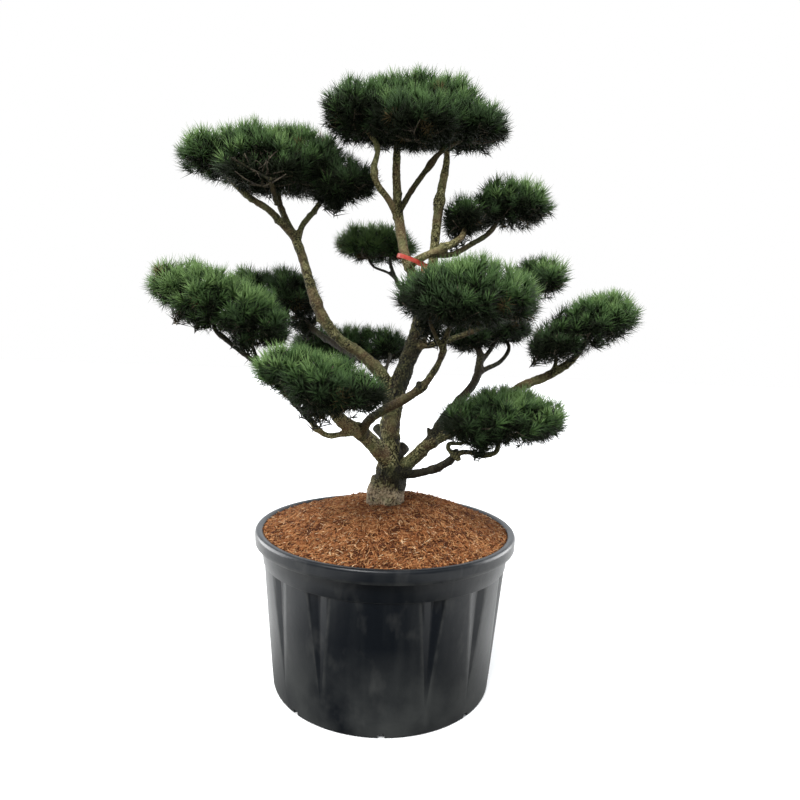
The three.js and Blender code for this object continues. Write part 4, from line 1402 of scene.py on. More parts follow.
    def branchlets(self) -> tuple[list, np.ndarray]:
        """Return the branchlets from each lobe's hub as tubes, with the places along them."""
        grown = []
        for index, lobe in enumerate(self.plan.lobes):
            start, heart = hub(lobe), np.array(lobe[:3])
            spread = self._spread(lobe, index, self.BRANCHLETS_PER_M2, *self.BRANCHLET_BAND)
            for number, toward in enumerate(spread):
                luck = chance(self.seed + index, np.arange(4) + number * 4)
                reach = self.BRANCHLET_REACH[0] + self.BRANCHLET_REACH[1] * luck[0]
                end = heart + self._half(lobe, toward[2:3], reach)[0] * toward
                bend = (luck[1:] - 0.5) * self.BRANCHLET_BEND - np.array([0, 0, self.BRANCHLET_SAG])
                line = Route(np.array([start, start * 0.5 + end * 0.5 + bend, end])).at(np.linspace(0, 1, 6))
                grown.append((line, *self.BRANCHLET))
            for number in range(self.BARE_TWIGS if lobe[5] > self.TUFT else 0):
                turn = number * GOLDEN_ANGLE + self.seed + index
                toward = np.array([math.cos(turn), math.sin(turn)])
                end = heart + np.array([*(self.BARE_REACH * toward * lobe[3:5]), -self.BARE_DROP * lobe[5]])
                foot = heart - np.array([0, 0, self.BARE_FOOT * lobe[5]])
                bend = np.array([*(self.BARE_BEND * toward[::-1]), -self.BARE_SAG * lobe[5]])
                middle = foot * 0.45 + end * 0.55 + bend
                line = Route(np.array([start, foot, middle, end])).at(np.linspace(0, 1, 9))
                grown.append((line, *self.BARE_TWIG))
            if index and lobe[5] > self.TUFT:
                line = np.linspace(hub(self.plan.lobes[index - 1]), start, 8)
                line[:, 2] -= self.LINK_SAG * np.sin(np.linspace(0, math.pi, 8))
                grown.append((line, *self.LINK))
        parts = [tube(line, np.linspace(thick, thin, len(line)), sides) for line, thick, thin, sides in grown]
        return parts, np.vstack([line for line, *_ in grown])

    def twigs(self, groups: list[Shoots]) -> tuple[np.ndarray, np.ndarray]:
        """Return branchlets, and a twig from the nearest one through each shoot, in millimetres."""
        parts, places = self.branchlets()
        tree = tree_of(places)
        for group in groups:
            for root, axis, size in zip(group.roots, group.axes, group.sizes):
                near, _, _ = tree.find(Vector(root))
                line = np.array([near, root, root + axis * group.kind.length * size])
                parts.append(tube(line, self.TWIG_RADII, 3))
        return joined(parts)

    def build(self, wood: Wood, needle_finishes: list, twig_finish: bpy.types.Material) -> None:
        """Grow the cloud as one piece of needles and one of twigs, in place of its node.

        Args:
            wood: The trunk and boughs, which needles stay clear of.
            needle_finishes: The needles' materials, in slot order.
            twig_finish: The twigs' material.
        """
        groups = [self.shoots(kind, wood) for kind in (self.OUTER, self.UNDER, self.INNER)]
        made = [group.needles() for group in groups]
        points, faces = joined([(points, faces) for points, faces, _ in made])
        slots = np.concatenate([slots for _, _, slots in made])
        needles = mesh_piece(f"{self.name}_needles", points * MM, faces, slots)
        seat(needles, "needles", needle_finishes, self.name)
        points, faces = self.twigs(groups)
        seat(mesh_piece(f"{self.name}_twigs", points * MM, faces), "bark", [twig_finish])


@dataclass
class Crown:
    """All the clouds of needles."""

    needle_finish: NeedleFinish = field(default_factory=NeedleFinish)
    twig_finish: TwigFinish = field(default_factory=TwigFinish)

    def build(self, wood: Wood) -> None:
        """Grow every cloud on from the limbs that feed it."""
        needles = self.needle_finish.materials()
        twigs = self.twig_finish.material()
        for index, (name, plan) in enumerate(CLOUDS.items()):
            others = tuple(lobe for other, rest in CLOUDS.items() if other != name for lobe in rest.lobes)
            Cloud(name, plan, FIRST_SEED + SEED_STEP * index, others).build(wood, needles, twigs)


@dataclass(frozen=True)
class PotFinish:
    """Black moulded plastic: satin, bluish on the rim, dusty towards the foot, with scuffs, painted
    highlights along its edges and painted shade in its flutes.
    """

    fresh: tuple = (0.0028, 0.0045, 0.0075)
    dust: tuple = (0.064, 0.067, 0.065)
    scuff_and_highlight: tuple = (0.1, 0.1, 0.095)
    scuff_and_highlight_share: float = 0.35
    film: float = 0.03
    roughness: float = 0.34

    def material(self) -> bpy.types.Material:
        """Make the material."""
        paint = Paint("black_plastic", self.roughness, self.fresh, 0.28)
        high = paint.grade(paint.axes()["Z"], 0.3, 0.0)
        streaks = paint.noise(14, 4, paint.stretched((1, 1, 0.12)))
        dusty = paint.times(high, paint.grade(paint.noise(5.5, 5), 0.3, 0.62))
        dusty = paint.sums("ADD", dusty, paint.times(paint.grade(streaks, 0.5, 0.8), 0.2))
        # Painted shade in the flutes: their hollows keep no pale dust, so they stay dark
        flute_shade = paint.grade(paint.attribute("flute_shade"), 1.0, 0.0)
        dusty = paint.times(paint.sums("ADD", dusty, self.film), flute_shade)
        marks = paint.grade(paint.noise(16, 3, paint.stretched((1, 1, 0.5))), 0.56, 0.8)
        # Wear mixed with painted highlight: a pale line along the rim's lip, the band's step and the flutes'
        # edges
        worn_and_lit = paint.times(paint.attribute("wear_and_highlight"), paint.grade(paint.noise(22, 4), 0.3, 0.6))
        colour = paint.mixed(dusty, self.fresh, self.dust)
        for scuff_and_highlight_mask in (marks, worn_and_lit):
            colour = paint.mixed(paint.times(scuff_and_highlight_mask, self.scuff_and_highlight_share), colour, self.scuff_and_highlight)
        paint.wire(colour, "Base Color")
        paint.wire(paint.ramp(dusty, ((0.0, (0.3, 0.3, 0.3)), (0.8, (0.48, 0.48, 0.48)))), "Roughness")
        paint.relief(paint.noise(30, 3), 0.0012, 0.5)
        paint.relief(paint.noise(700, 2), 0.0003, 0.4)
        return paint.material


@dataclass
class Pot:
    """The nursery pot: a turned shell with a rolled rim, tapering V flutes and drain slots."""

    neck_radius: float = 441.0
    neck_height: float = 512.0
    foot_radius: float = 394.5
    band_foot: float = 446.0
    band_step: float = 3.0
    wall: float = 12.0
    floor: float = 12.0
    segments: int = 360
    flutes: int = 15
    flute_depth: float = 12.0
    flute_half: float = 5.6
    flute_end: float = 0.4
    flute_foot: float = 92.0
    flute_top: float = 443.0
    flute_turn: float = math.radians(-2.5)
    slots: int = 8
    slot_turn: float = math.radians(2)
    slot_width: float = 22.0
    slot_height: float = 15.0
    slot_round: float = 3.0
    finish: PotFinish = field(default_factory=PotFinish)

    # The degrees each side of a flute's middle whose columns gather at its edges, and what counts as an edge,
    # which gets a painted highlight
    GATHERED = 6
    EDGE = (5.4, 6.6)
    PAINTED_LIGHT_CURVE = 0.3
    LEAST_HEIGHT = 40
    # The rim's lower lip lies so far outside the neck, and between the neck's height and so far above it
    LIP_OUT = 17
    LIP_RISE = 3

    def wall_radius(self, z: float) -> float:
        """Return the outer radius at a height, in millimetres."""
        slope = (self.neck_radius - self.foot_radius) / self.neck_height
        return self.foot_radius + slope * z - (0 if z > self.band_foot else self.band_step)

    def _profile(self) -> list[tuple[float, float]]:
        """Return the section's outline as radius and height, from the underside's middle round to it."""
        foot, step = self.foot_radius - self.band_step, self.band_foot
        outline = [(0, 0), (180, 0), (foot - 7, 0), (foot - 3.6, 0.8), (foot - 1.2, 3), (foot, 7)]
        outline += [(self.wall_radius(z), z) for z in (50, self.flute_foot, 180, 270, 360, self.flute_top)]
        outline += [(self.wall_radius(step - 0.2), step - 0.6)]
        outline += [(self.wall_radius(step) + self.band_step - 0.8, step)]
        outline += [(self.wall_radius(step + 2), step + 2), (self.wall_radius(480), 480), (441, 512)]
        outline += [(441.6, 520), (443.6, 530), (447, 535.5), (452, 537), (456.2, 534.5), (458.6, 527)]
        outline += [(459.8, 514), (460.8, 512.2), (462.4, 512.2), (463.4, 513.6), (463.8, 524), (464.5, 543)]
        outline += [(463.9, 548), (461.8, 552), (458.6, 554.8), (454.5, 556), (447.5, 555.6), (441.5, 553.8)]
        outline += [(438, 551), (436.6, 547), (434.6, 540), (428.6, 520)]
        inner = self.wall_radius(self.floor) - self.wall
        return outline + [(inner, self.floor), (180, self.floor), (0, self.floor)]

    def _worn_and_lit_edge(self, radius: float, z: float) -> bool:
        """Return whether a place lies on the rim's lower lip or on the band's step, where a painted highlight
        goes.
        """
        lip = radius > self.neck_radius + self.LIP_OUT
        low = self.neck_height < z < self.neck_height + self.LIP_RISE
        return (lip and low) or (abs(z - self.band_foot) < 0.3 and radius > self.foot_radius)

    def _fluted(self, piece: bpy.types.Object) -> None:
        """Press the flutes in: wide and deep under the band, running out to nothing near the foot."""
        pitch = 360 / self.flutes
        wear_and_highlight = piece.data.attributes.new("wear_and_highlight", "FLOAT", "POINT")
        flute_shade = piece.data.attributes.new("flute_shade", "FLOAT", "POINT")
        for vertex in piece.data.vertices:
            x, y, z = vertex.co / MM
            radius = math.hypot(x, y)
            # The rim's lip and the band's step get a painted highlight
            if self._worn_and_lit_edge(radius, z):
                wear_and_highlight.data[vertex.index].value = 1.0
            outside = radius >= self.wall_radius(z) - 1
            if not (outside and self.LEAST_HEIGHT < z < self.flute_top + 1):
                continue
            angle = math.degrees(math.atan2(x, -y)) / pitch
            number = round(angle)
            if number % self.flutes == 0:
                continue
            offset = (angle - number) * pitch
            share = min(1.0, max(0.0, (z - self.flute_foot) / (self.flute_top - self.flute_foot)))
            half = self.flute_end + (self.flute_half - self.flute_end) * share
            near = min(1.0, abs(offset) / self.GATHERED)
            far = max(0.0, abs(offset) - self.GATHERED) / (pitch / 2 - self.GATHERED)
            turned = math.copysign(near * half + far * (pitch / 2 - half), offset)
            depth = self.flute_depth * share * (1 - near)
            turn = math.radians(number * pitch + turned)
            vertex.co.x = math.sin(turn) * (radius - depth) * MM
            vertex.co.y = -math.cos(turn) * (radius - depth) * MM
            # How deep in a flute a point lies, for the painted shade in the flutes
            flute_shade.data[vertex.index].value = min(1.0, 3 * (1 - near)) * share**self.PAINTED_LIGHT_CURVE
            # The flutes' edges get a painted highlight
            if self.EDGE[0] < abs(offset) < self.EDGE[1]:
                wear_and_highlight.data[vertex.index].value = share**self.PAINTED_LIGHT_CURVE

    def _drained(self, piece: bpy.types.Object) -> None:
        """Cut the drain slots through the wall's foot."""
        reach = (self.foot_radius - self.band_step) * MM
        for index in range(self.slots):
            turn = self.slot_turn + 2 * math.pi * index / self.slots
            bpy.ops.object.select_all(action="DESELECT")
            place = (math.sin(turn) * reach, -math.cos(turn) * reach, 0)
            bpy.ops.mesh.primitive_cube_add(size=1, location=place, rotation=(0, 0, turn))
            cutter = bpy.context.object
            cutter.scale = (self.slot_width * MM, 4 * self.wall * MM, 2 * self.slot_height * MM)
            bevel = cutter.modifiers.new("round", "BEVEL")
            bevel.width = self.slot_round * MM
            bevel.segments = 3
            select_only(piece)
            apply_modifier(piece, "BOOLEAN", operation="DIFFERENCE", solver="EXACT", object=cutter)
            bpy.data.objects.remove(cutter)

    def build(self) -> None:
        """Make the pot in place of its node."""
        piece = spun_piece("pot_shell", self._profile(), self.segments)
        self._fluted(piece)
        piece.data.transform(Matrix.Rotation(self.flute_turn, 4, "Z"))
        self._drained(piece)
        smooth(piece, 35)
        seat(piece, "pot", [self.finish.material()], "pot")


@dataclass(frozen=True)
class MulchFinish:
    """Coarse bark fibre: a red-brown bed, painted dark as shade in its hollows, with loose fibres and chips
    in plain browns.
    """

    bed: tuple = (0.21, 0.08, 0.032)
    hollow_shade: tuple = (0.05, 0.018, 0.008)
    browns: tuple = (
        (0.45, 0.18, 0.063), (0.32, 0.116, 0.04), (0.6, 0.31, 0.13), (0.11, 0.036, 0.014), (0.8, 0.55, 0.32),
    )

    def bed_material(self) -> bpy.types.Material:
        """Make the bed's material."""
        paint = Paint("mulch_bed", 0.95, self.bed, 0.15)
        speck = paint.noise(150, 6, warp=1.0)
        # Painted shade: the bed's low specks are near-black
        colour = paint.ramp(speck, ((0.38, self.hollow_shade), (0.6, self.bed), (0.75, self.browns[1])))
        paint.wire(colour, "Base Color")
        paint.relief(speck, 0.004)
        return paint.material

    def loose_materials(self) -> list[bpy.types.Material]:
        """Make the plain browns of the loose fibres and chips."""
        return [
            Paint(f"mulch_fibre_{number}", 0.9, colour, 0.2).material
            for number, colour in enumerate(self.browns, 1)
        ]


@dataclass
class Mulch:
    """The bark fibre that fills the pot, mounded up to the trunk."""

    top: float = 636.0
    flat: float = 100.0
    bulge: float = 0.7
    edge_height: float = 546.5
    edge_radius: float = 435.6
    neck: tuple = (427.6, 520.0)
    foot: tuple = (379.9, 12.3)
    segments: int = 240
    rings: int = 46
    bumps: float = 5.0
    bump_sizes: tuple = (30.0, 11.0)
    left_hollow: float = 0.2
    fibres: int = 24000
    fibre_length: tuple = (9.0, 34.0)
    fibre_radius: tuple = (0.8, 1.8)
    fibre_lift: tuple = (0.2, 3.4)
    fibre_tilt: float = 0.26
    fibre_bow: float = 0.22
    fibre_browns: tuple = (0.33, 0.28, 0.2, 0.15, 0.04)
    chips: int = 2600
    chip_size: tuple = (4.0, 11.0)
    chip_width: tuple = (0.35, 0.8)
    chip_wobble: tuple = (0.7, 1.1)
    chip_tilt: float = 0.3
    chip_browns: tuple = (0.25, 0.33, 0.1, 0.27, 0.05)
    damp_spread: float = 55.0
    damp_from: float = 0.32
    damp_share: float = 0.5
    damp_brown: int = 3
    seed: int = 41
    finish: MulchFinish = field(default_factory=MulchFinish)

    # The bed lies so far under the loose cover
    SUNK = 2.0
    # The mound sinks a little to the left, from a radius on, and is smooth along the pot's wall
    HOLLOW_SPAN = 220
    HOLLOW_FROM = 90
    SMOOTH_EDGE = 20
    # How far ahead along a fibre the mound's slope is felt, and a fibre's thickness at its three rings
    FEEL = 4
    TAPER = (0.6, 1.0, 0.5)
    # The loose cover's least share of the pot's area, round the trunk, and its distance from the wall
    TRUNK_SHARE = 0.02
    WALL_CLEAR = 4
    CHIP_HEIGHTS = (0.4, 2.0)

    def surface(self, x: np.ndarray, y: np.ndarray) -> np.ndarray:
        """Return the mound's height at places, in millimetres."""
        radius = np.hypot(x, y)
        share = np.clip((self.edge_radius - radius) / (self.edge_radius - self.flat), 0, 1)
        lift = 0.5 - 0.5 * np.cos(math.pi * share**self.bulge)
        sunk = np.clip(-x / self.HOLLOW_SPAN, -0.4, 1) * np.clip(radius / self.HOLLOW_FROM, 0, 1)
        lift = lift * (1 - self.left_hollow * sunk)
        plain = self.edge_height + (self.top - self.edge_height) * lift
        wide, small = self.bump_sizes
        places = list(zip(np.ravel(x), np.ravel(y)))
        swells = np.array([noise.noise(Vector((a / wide, b / wide, 0.3))) for a, b in places])
        crumbs = np.array([noise.noise(Vector((a / small, b / small, 7.1))) for a, b in places])
        calm = np.clip((self.edge_radius - radius) / self.SMOOTH_EDGE, 0, 1)
        return plain + self.bumps * np.reshape(swells + 0.5 * crumbs, radius.shape) * calm

    def _bed(self) -> None:
        """Make the bed: a plug that fills the pot, with a mounded, bumpy top."""
        radii = np.linspace(self.edge_radius, 0, self.rings)
        outline = [(0.0, self.foot[1]), self.foot, self.neck]
        outline += [(radius, self.edge_height) for radius in radii]
        piece = spun_piece("mulch_bed", outline, self.segments)
        top = [vertex for vertex in piece.data.vertices if vertex.co.z > (self.neck[1] + 5) * MM]
        x = np.array([vertex.co.x for vertex in top]) / MM
        y = np.array([vertex.co.y for vertex in top]) / MM
        for vertex, height in zip(top, self.surface(x, y)):
            vertex.co.z = (height - self.SUNK) * MM
        smooth(piece, 60)
        seat(piece, "mulch", [self.finish.bed_material()], "mulch")

    def _scatter(self, draw: np.random.Generator, count: int) -> tuple[np.ndarray, np.ndarray]:
        """Return places on the mound, clear of the trunk, with their turns."""
        radius = np.sqrt(draw.uniform(self.TRUNK_SHARE, 1, count)) * (self.edge_radius - self.WALL_CLEAR)
        turn = draw.uniform(0, 2 * math.pi, count)
        x, y = radius * np.cos(turn), radius * np.sin(turn)
        return np.column_stack([x, y, self.surface(x, y)]), draw.uniform(0, 2 * math.pi, count)

    def _fibre_mesh(self, draw: np.random.Generator, count: int) -> tuple[np.ndarray, np.ndarray]:
        """Return curved three-sided fibres lying on the mound, in millimetres."""
        place, turn = self._scatter(draw, count)
        tilt = draw.normal(0.0, self.fibre_tilt, count)
        along = np.column_stack([np.cos(turn) * np.cos(tilt), np.sin(turn) * np.cos(tilt), np.sin(tilt)])
        x, y = (place[:, :2] + along[:, :2] * self.FEEL).T
        along[:, 2] += (self.surface(x, y) - place[:, 2]) / self.FEEL
        along = unit(along)
        side = unit(np.cross(along, [0, 0, 1.0]))
        up = np.cross(side, along)
        half = draw.uniform(*self.fibre_length, count)[:, None] / 2
        bow = draw.normal(0, self.fibre_bow, (count, 1)) * half
        thick = draw.uniform(*self.fibre_radius, count)[:, None]
        lift = draw.uniform(*self.fibre_lift, (count, 1))
        middle = place + up * lift
        centres = [middle - along * half, middle + side * bow + up * half * 0.08, middle + along * half]
        angles = [2 * math.pi * corner / 3 for corner in range(3)]
        points = [
            centre + thick * share * (math.cos(angle) * side * 1.3 + math.sin(angle) * up)
            for centre, share in zip(centres, self.TAPER)
            for angle in angles
        ]
        pattern = np.vstack([bands(3, 3)[:, ::-1], [(0, 1, 2), (6, 8, 7)]])
        return np.stack(points, axis=1).reshape(-1, 3), copied(pattern, 9, count)

    def _fibres(self) -> None:
        """Strew the loose fibres in two pieces, each fibre a plain brown."""
        materials = self.finish.loose_materials()
        each = self.fibres // 2
        for number in range(2):
            draw = np.random.default_rng(self.seed + number)
            points, faces = self._fibre_mesh(draw, each)
            tones = draw.choice(5, each, p=self.fibre_browns)
            damp = noise_at(points[::9], self.damp_spread) > self.damp_from
            tones[damp & (draw.uniform(0, 1, each) < self.damp_share)] = self.damp_brown
            slots = np.repeat(tones, len(faces) // each)
            seat(mesh_piece(f"mulch_fibres_{number + 1}", points * MM, faces, slots), "mulch", materials)

    def _chips(self) -> None:
        """Strew flat, five-sided chips of bark."""
        draw = np.random.default_rng(self.seed + 9)
        place, turn = self._scatter(draw, self.chips)
        tilt = draw.normal(0, self.chip_tilt, (self.chips, 2))
        length = draw.uniform(*self.chip_size, self.chips)
        width = length * draw.uniform(*self.chip_width, self.chips)
        along = unit(np.column_stack([np.cos(turn), np.sin(turn), tilt[:, 0]]))
        side = unit(np.column_stack([-np.sin(turn), np.cos(turn), tilt[:, 1]]))
        up = np.cross(along, side)
        corners = []
        for height in self.CHIP_HEIGHTS:
            for number in range(5):
                angle = 2 * math.pi * number / 5
                wobble = draw.uniform(*self.chip_wobble, self.chips)
                flat = along * (length * wobble * math.cos(angle))[:, None]
                flat = flat + side * (width * wobble * math.sin(angle))[:, None]
                corners.append(place + flat / 2 + up * height)
        ends = [(0, 2, 1), (0, 3, 2), (0, 4, 3), (5, 6, 7), (5, 7, 8), (5, 8, 9)]
        pattern = np.vstack([ends, bands(5, 2)])
        tones = draw.choice(5, self.chips, p=self.chip_browns)
        points, faces = np.stack(corners, axis=1).reshape(-1, 3), copied(pattern, 10, self.chips)
        piece = mesh_piece("mulch_chips", points * MM, faces, np.repeat(tones, len(pattern)))
        seat(piece, "mulch", self.finish.loose_materials())

    def build(self) -> None:
        """Make the bed, its fibres and its chips in place of the mulch node."""
        self._bed()
        self._fibres()
        self._chips()


@dataclass(frozen=True)
class TapeFinish:
    """Thin red plastic tape, glossy, a little faded."""

    bright: tuple = (0.62, 0.05, 0.035)
    faded: tuple = (0.72, 0.13, 0.08)

    def material(self) -> bpy.types.Material:
        """Make the material."""
        paint = Paint("red_tape", 0.32, self.bright)
        patches = paint.grade(paint.noise(60, 3), 0.35, 0.65)
        paint.wire(paint.mixed(patches, self.bright, self.faded), "Base Color")
        paint.relief(paint.noise(120, 3, paint.stretched((1, 1, 0.3))), 0.0012)
        return paint.material


@dataclass
class TieTape:
    """The tape that ties the leader to the high bough: two turns round both, a knot and its tails."""

    middle: tuple = (60.0, 12.0, 1502.0)
    half_across: float = 57.5
    half_depth: float = 43.5
    lean: float = 0.3
    tilt: float = 0.1
    width: float = 11.0
    thickness: float = 1.1
    steps: int = 120
    turns: int = 2
    rise: float = 3.2
    crumple: float = 1.1
    crumple_size: float = 9.0
    knot_turn: float = math.radians(-38)
    finish: TapeFinish = field(default_factory=TapeFinish)

    # How much wider the outer turn is, how the turns wave in and out and up and down, and their lift
    GROWTH = 1.6
    SLACK = 0.02
    WAVE = 1.5
    LIFT = 6
    # The section's corners, its ends' triangles, and the lines of the knot and its tails
    SECTION = ((-1, -1), (0, -1), (1, -1), (1, 1), (0, 1), (-1, 1))
    ENDS = np.array([(0, 5, 4), (0, 4, 1), (1, 4, 3), (1, 3, 2)])
    KNOT = (
        (-14, -3, 10), (-4, -7, 7), (5, -9, 1), (6, -6, -7), (-2, -8, -9), (-6, -10, -1), (3, -12, 6),
        (12, -8, 8),
    )
    KNOT_STEPS = 60
    KNOT_ACROSS = (0.25, -0.35, 0.9)
    TAILS = (
        ((2, -8, 2), (6, -13, -7), (12, -12, -20)),
        ((2, -8, 2), (-1.5, -13, -8.4), (-3, -12, -24)),
    )
    TAIL_STEPS = 14
    TAIL_ACROSS = (0.9, -0.1, 0.35)

    def _placed(self, points: np.ndarray) -> np.ndarray:
        """Lean, tilt and move points from the tape's own frame to their place."""
        turn = Matrix.Rotation(self.tilt, 3, "X") @ Matrix.Rotation(self.lean, 3, "Y")
        return points @ np.array(turn).T + np.array(self.middle)

    def _ribbon(self, line: np.ndarray, across: tuple) -> tuple[np.ndarray, np.ndarray]:
        """Return a flat ribbon along a line.

        Args:
            line: The places of its middle.
            across: The direction of its width.

        Returns:
            The vertices and triangles of a closed, slightly crumpled ribbon.
        """
        tangents = unit(np.gradient(line, axis=0))
        across = np.tile(across, (len(line), 1))
        across = unit(across - tangents * np.einsum("ij,ij->i", across, tangents)[:, None])
        face = np.cross(tangents, across)
        bends = self.crumple * noise_at(line, self.crumple_size)
        corners = []
        for side, front in self.SECTION:
            out = front * self.thickness / 2 + bends * (1 - abs(side))
            corners.append(line + across * side * self.width / 2 + face * out[:, None])
        points = np.stack(corners, axis=1).reshape(-1, 3)
        sides = len(self.SECTION)
        far_end = self.ENDS[:, ::-1] + (len(line) - 1) * sides
        return points, np.vstack([bands(sides, len(line)), self.ENDS, far_end])

    def build(self) -> None:
        """Make the tape in place of its node."""
        turn = np.linspace(0, 2 * math.pi * self.turns, self.steps * self.turns) + self.knot_turn
        climb = np.linspace(-0.5, 0.5, len(turn)) * self.rise * self.turns
        grow = np.linspace(0.0, self.GROWTH, len(turn))
        slack = 1 + self.SLACK * np.sin(3 * turn + 1)
        loop = np.column_stack([
            (self.half_across + grow) * np.cos(turn) * slack,
            (self.half_depth + grow) * np.sin(turn) * slack,
            climb + self.WAVE * np.sin(2 * turn) + self.LIFT,
        ])
        parts = [self._ribbon(loop, (0.0, 0.0, 1.0))]
        x, y = self.half_across * math.cos(self.knot_turn), self.half_depth * math.sin(self.knot_turn)
        lines = [(self.KNOT, self.KNOT_STEPS, self.KNOT_ACROSS)]
        lines += [(tail, self.TAIL_STEPS, self.TAIL_ACROSS) for tail in self.TAILS]
        for places, steps, across in lines:
            line = Route(np.array(places, float) + (x, y, 0)).at(np.linspace(0, 1, steps))
            parts.append(self._ribbon(line, across))
        points, faces = joined(parts)
        piece = mesh_piece("red_tie_tape", self._placed(points) * MM, faces)
        face_outward(piece)
        smooth(piece, 50)
        seat(piece, "tape", [self.finish.material()], "tie_tape")


@dataclass(frozen=True)
class SoftBox:
    """One soft light for sheen alone: where it hangs, what it points at, its width and power."""

    name: str
    place: tuple
    target: tuple
    width: float
    power: float

    def build(self) -> None:
        """Hang the light."""
        light = bpy.data.lights.new(self.name, "AREA")
        light.shape = "DISK"
        light.size = self.width
        light.energy = self.power
        lamp = link_object(self.name, light)
        lamp.visible_diffuse = False
        lamp.location = self.place
        aim = Vector(self.target) - Vector(self.place)
        lamp.rotation_euler = aim.to_track_quat("-Z", "Y").to_euler()


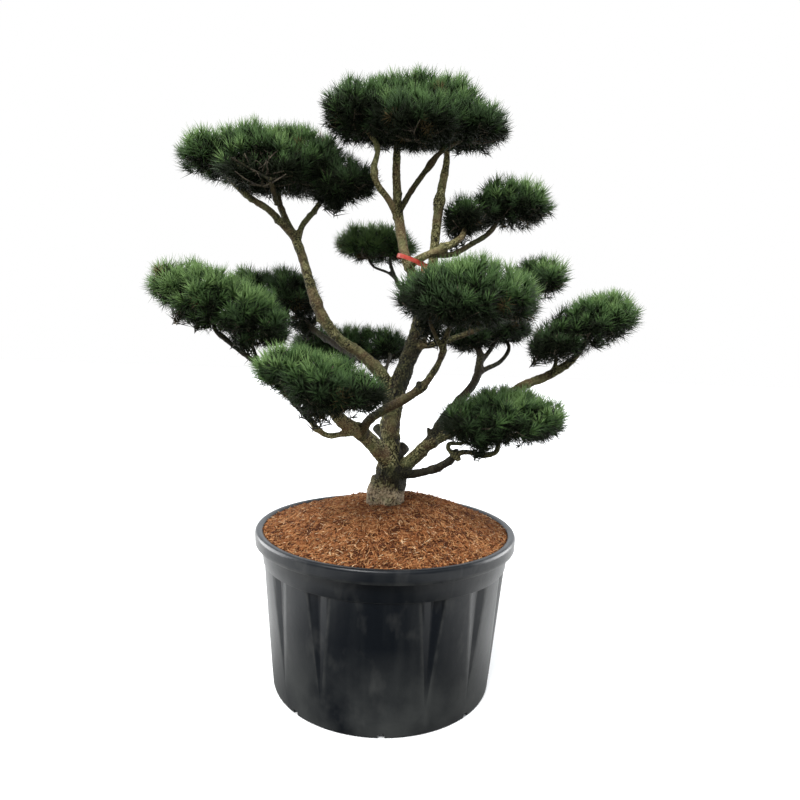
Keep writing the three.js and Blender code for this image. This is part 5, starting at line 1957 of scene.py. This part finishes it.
@dataclass
class Studio:
    """A floor, soft lights and the camera at the photograph's place.

    The floor and the surroundings look white, but give back little light to the tree from the front.

    Attributes:
        soft: The surroundings' light on plain surfaces, from the front, the back and above.
        sheen: The same for sheen alone.
        tint: The surroundings' colour as a light.
        foot_shade: The radii between which the floor turns from dark, under the pot's foot, to white.
        back_from: How far forward the surroundings begin to change from the front's light to the back's.
        lit_aside: How far to the sides the floor turns light for sheen.
        lit_behind: How far behind it turns light for sheen.
    """

    eye: tuple = (0.035, -2.102, 1.180)
    pitch: float = math.radians(4.55)
    roll: float = math.radians(2.07)
    focal_share: float = 587 / 800
    sensor: float = 36.0
    floor_size: float = 60.0
    floor_soft: tuple = (0.22, 0.22, 0.2)
    floor_dull: tuple = (0.05, 0.05, 0.05)
    floor_lit: tuple = (0.8, 0.8, 0.78)
    floor_seen: tuple = (0.9, 0.9, 0.9)
    floor_glow: float = 0.5
    floor_sheen: float = 0.6
    foot_shade: tuple = (0.388, 0.394)
    lit_aside: tuple = (0.4, 1.1)
    lit_behind: tuple = (-0.4, 0.5)
    soft: tuple = (0.46, 0.2, 0.75)
    sheen: tuple = (0.06, 1.3, 0.8)
    back_from: float = -0.9
    tint: tuple = (0.95, 0.99, 1.03)
    day: float = 2.8
    day_from: tuple = (-0.42, -0.75, 1.15)
    day_spread: float = math.radians(26)
    lights: tuple = (
        SoftBox("left_side", (-3.8, 1.0, 1.3), (0.0, 0.0, 0.5), 3.4, 260.0),
        SoftBox("right_side", (3.8, 1.2, 1.3), (0.0, 0.0, 0.5), 3.0, 220.0),
    )

    def _floor(self) -> None:
        """Lay the floor."""
        bpy.ops.object.select_all(action="DESELECT")
        bpy.ops.mesh.primitive_plane_add(size=self.floor_size, location=(0, 0, 0))
        floor = bpy.context.object
        floor.name = "floor"
        paint = Paint("studio_floor", 0.95, self.floor_seen)
        rays = paint.node("LightPath").outputs
        seen, glossy = rays["Is Camera Ray"], rays["Is Glossy Ray"]
        axes = paint.axes()
        aside = paint.node("Math", {0: axes["X"]}, operation="ABSOLUTE").outputs[0]
        behind = paint.grade(axes["Y"], *self.lit_behind)
        lit = paint.sums("ADD", paint.grade(aside, *self.lit_aside), behind)
        away = paint.node("VectorMath", {0: paint.place}, operation="LENGTH").outputs["Value"]
        shown = paint.times(seen, paint.grade(away, *self.foot_shade))
        unseen = paint.mixed(glossy, self.floor_soft, paint.mixed(lit, self.floor_dull, self.floor_lit))
        paint.wire(paint.mixed(seen, unseen, self.floor_seen), "Base Color")
        shining = paint.times(paint.times(glossy, lit), self.floor_sheen)
        glow = paint.sums("ADD", paint.times(shown, self.floor_glow), shining)
        paint.wire(glow, "Emission Strength")
        floor.data.materials.append(paint.material)

    def _world(self) -> None:
        """Surround the tree with light: white to look at, soft as a light, bright behind for sheen."""
        world = bpy.data.worlds.new("studio")
        world.use_nodes = True
        tree = world.node_tree
        rays = add_node(tree, "LightPath").outputs
        direction = add_node(tree, "TexCoord").outputs["Generated"]
        axes = add_node(tree, "SeparateXYZ", {"Vector": direction}).outputs
        totals = []
        for front, back, top in (self.soft, self.sheen):
            level = {"From Min": self.back_from, "To Min": front, "To Max": back, "Value": axes["Y"]}
            above = {"To Max": top, "Value": axes["Z"]}
            grades = [add_node(tree, "MapRange", inputs).outputs["Result"] for inputs in (level, above)]
            totals.append(add_node(tree, "Math", dict(enumerate(grades)), operation="ADD").outputs[0])
        inputs = {"Factor": rays["Is Glossy Ray"], "A": totals[0], "B": totals[1]}
        lit = tree.nodes["Background"]
        lit.inputs["Color"].default_value = (*self.tint, 1.0)
        tree.links.new(add_node(tree, "Mix", inputs).outputs["Result"], lit.inputs["Strength"])
        shown = add_node(tree, "Background", {"Color": (1.0, 1.0, 1.0)})
        mix = add_node(tree, "MixShader", {0: rays["Is Camera Ray"], 1: lit.outputs[0], 2: shown.outputs[0]})
        tree.links.new(mix.outputs[0], tree.nodes["World Output"].inputs["Surface"])
        bpy.context.scene.world = world

    def _daylight(self) -> None:
        """Add broad, soft light from high on the left, in front."""
        light = bpy.data.lights.new("daylight", "SUN")
        light.energy = self.day
        light.angle = self.day_spread
        lamp = link_object("daylight", light)
        lamp.rotation_euler = (-Vector(self.day_from)).to_track_quat("-Z", "Y").to_euler()

    def _camera(self) -> None:
        """Set the camera."""
        data = bpy.data.cameras.new("camera")
        data.sensor_width = self.sensor
        data.lens = self.focal_share * self.sensor
        camera = link_object("camera", data)
        right = Vector((1, 0, 0))
        up = Vector((0, math.sin(self.pitch), math.cos(self.pitch)))
        back = Vector((0, -math.cos(self.pitch), math.sin(self.pitch)))
        across = right * math.cos(self.roll) + up * math.sin(self.roll)
        high = up * math.cos(self.roll) - right * math.sin(self.roll)
        turn = Matrix((across, high, back)).transposed()
        camera.matrix_world = Matrix.Translation(self.eye) @ turn.to_4x4()
        bpy.context.scene.camera = camera

    def build(self) -> None:
        """Set up the studio."""
        bpy.context.scene.view_settings.view_transform = "Standard"
        self._camera()
        self._floor()
        self._world()
        self._daylight()
        for light in self.lights:
            light.build()


def main() -> None:
    """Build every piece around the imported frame, in order."""
    logging.basicConfig(level=logging.INFO, format="%(message)s")
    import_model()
    Studio().build()
    wood = Wood()
    wood.build()
    Pot().build()
    Mulch().build()
    TieTape().build()
    Crown().build(wood)


if __name__ == "__main__":
    main()
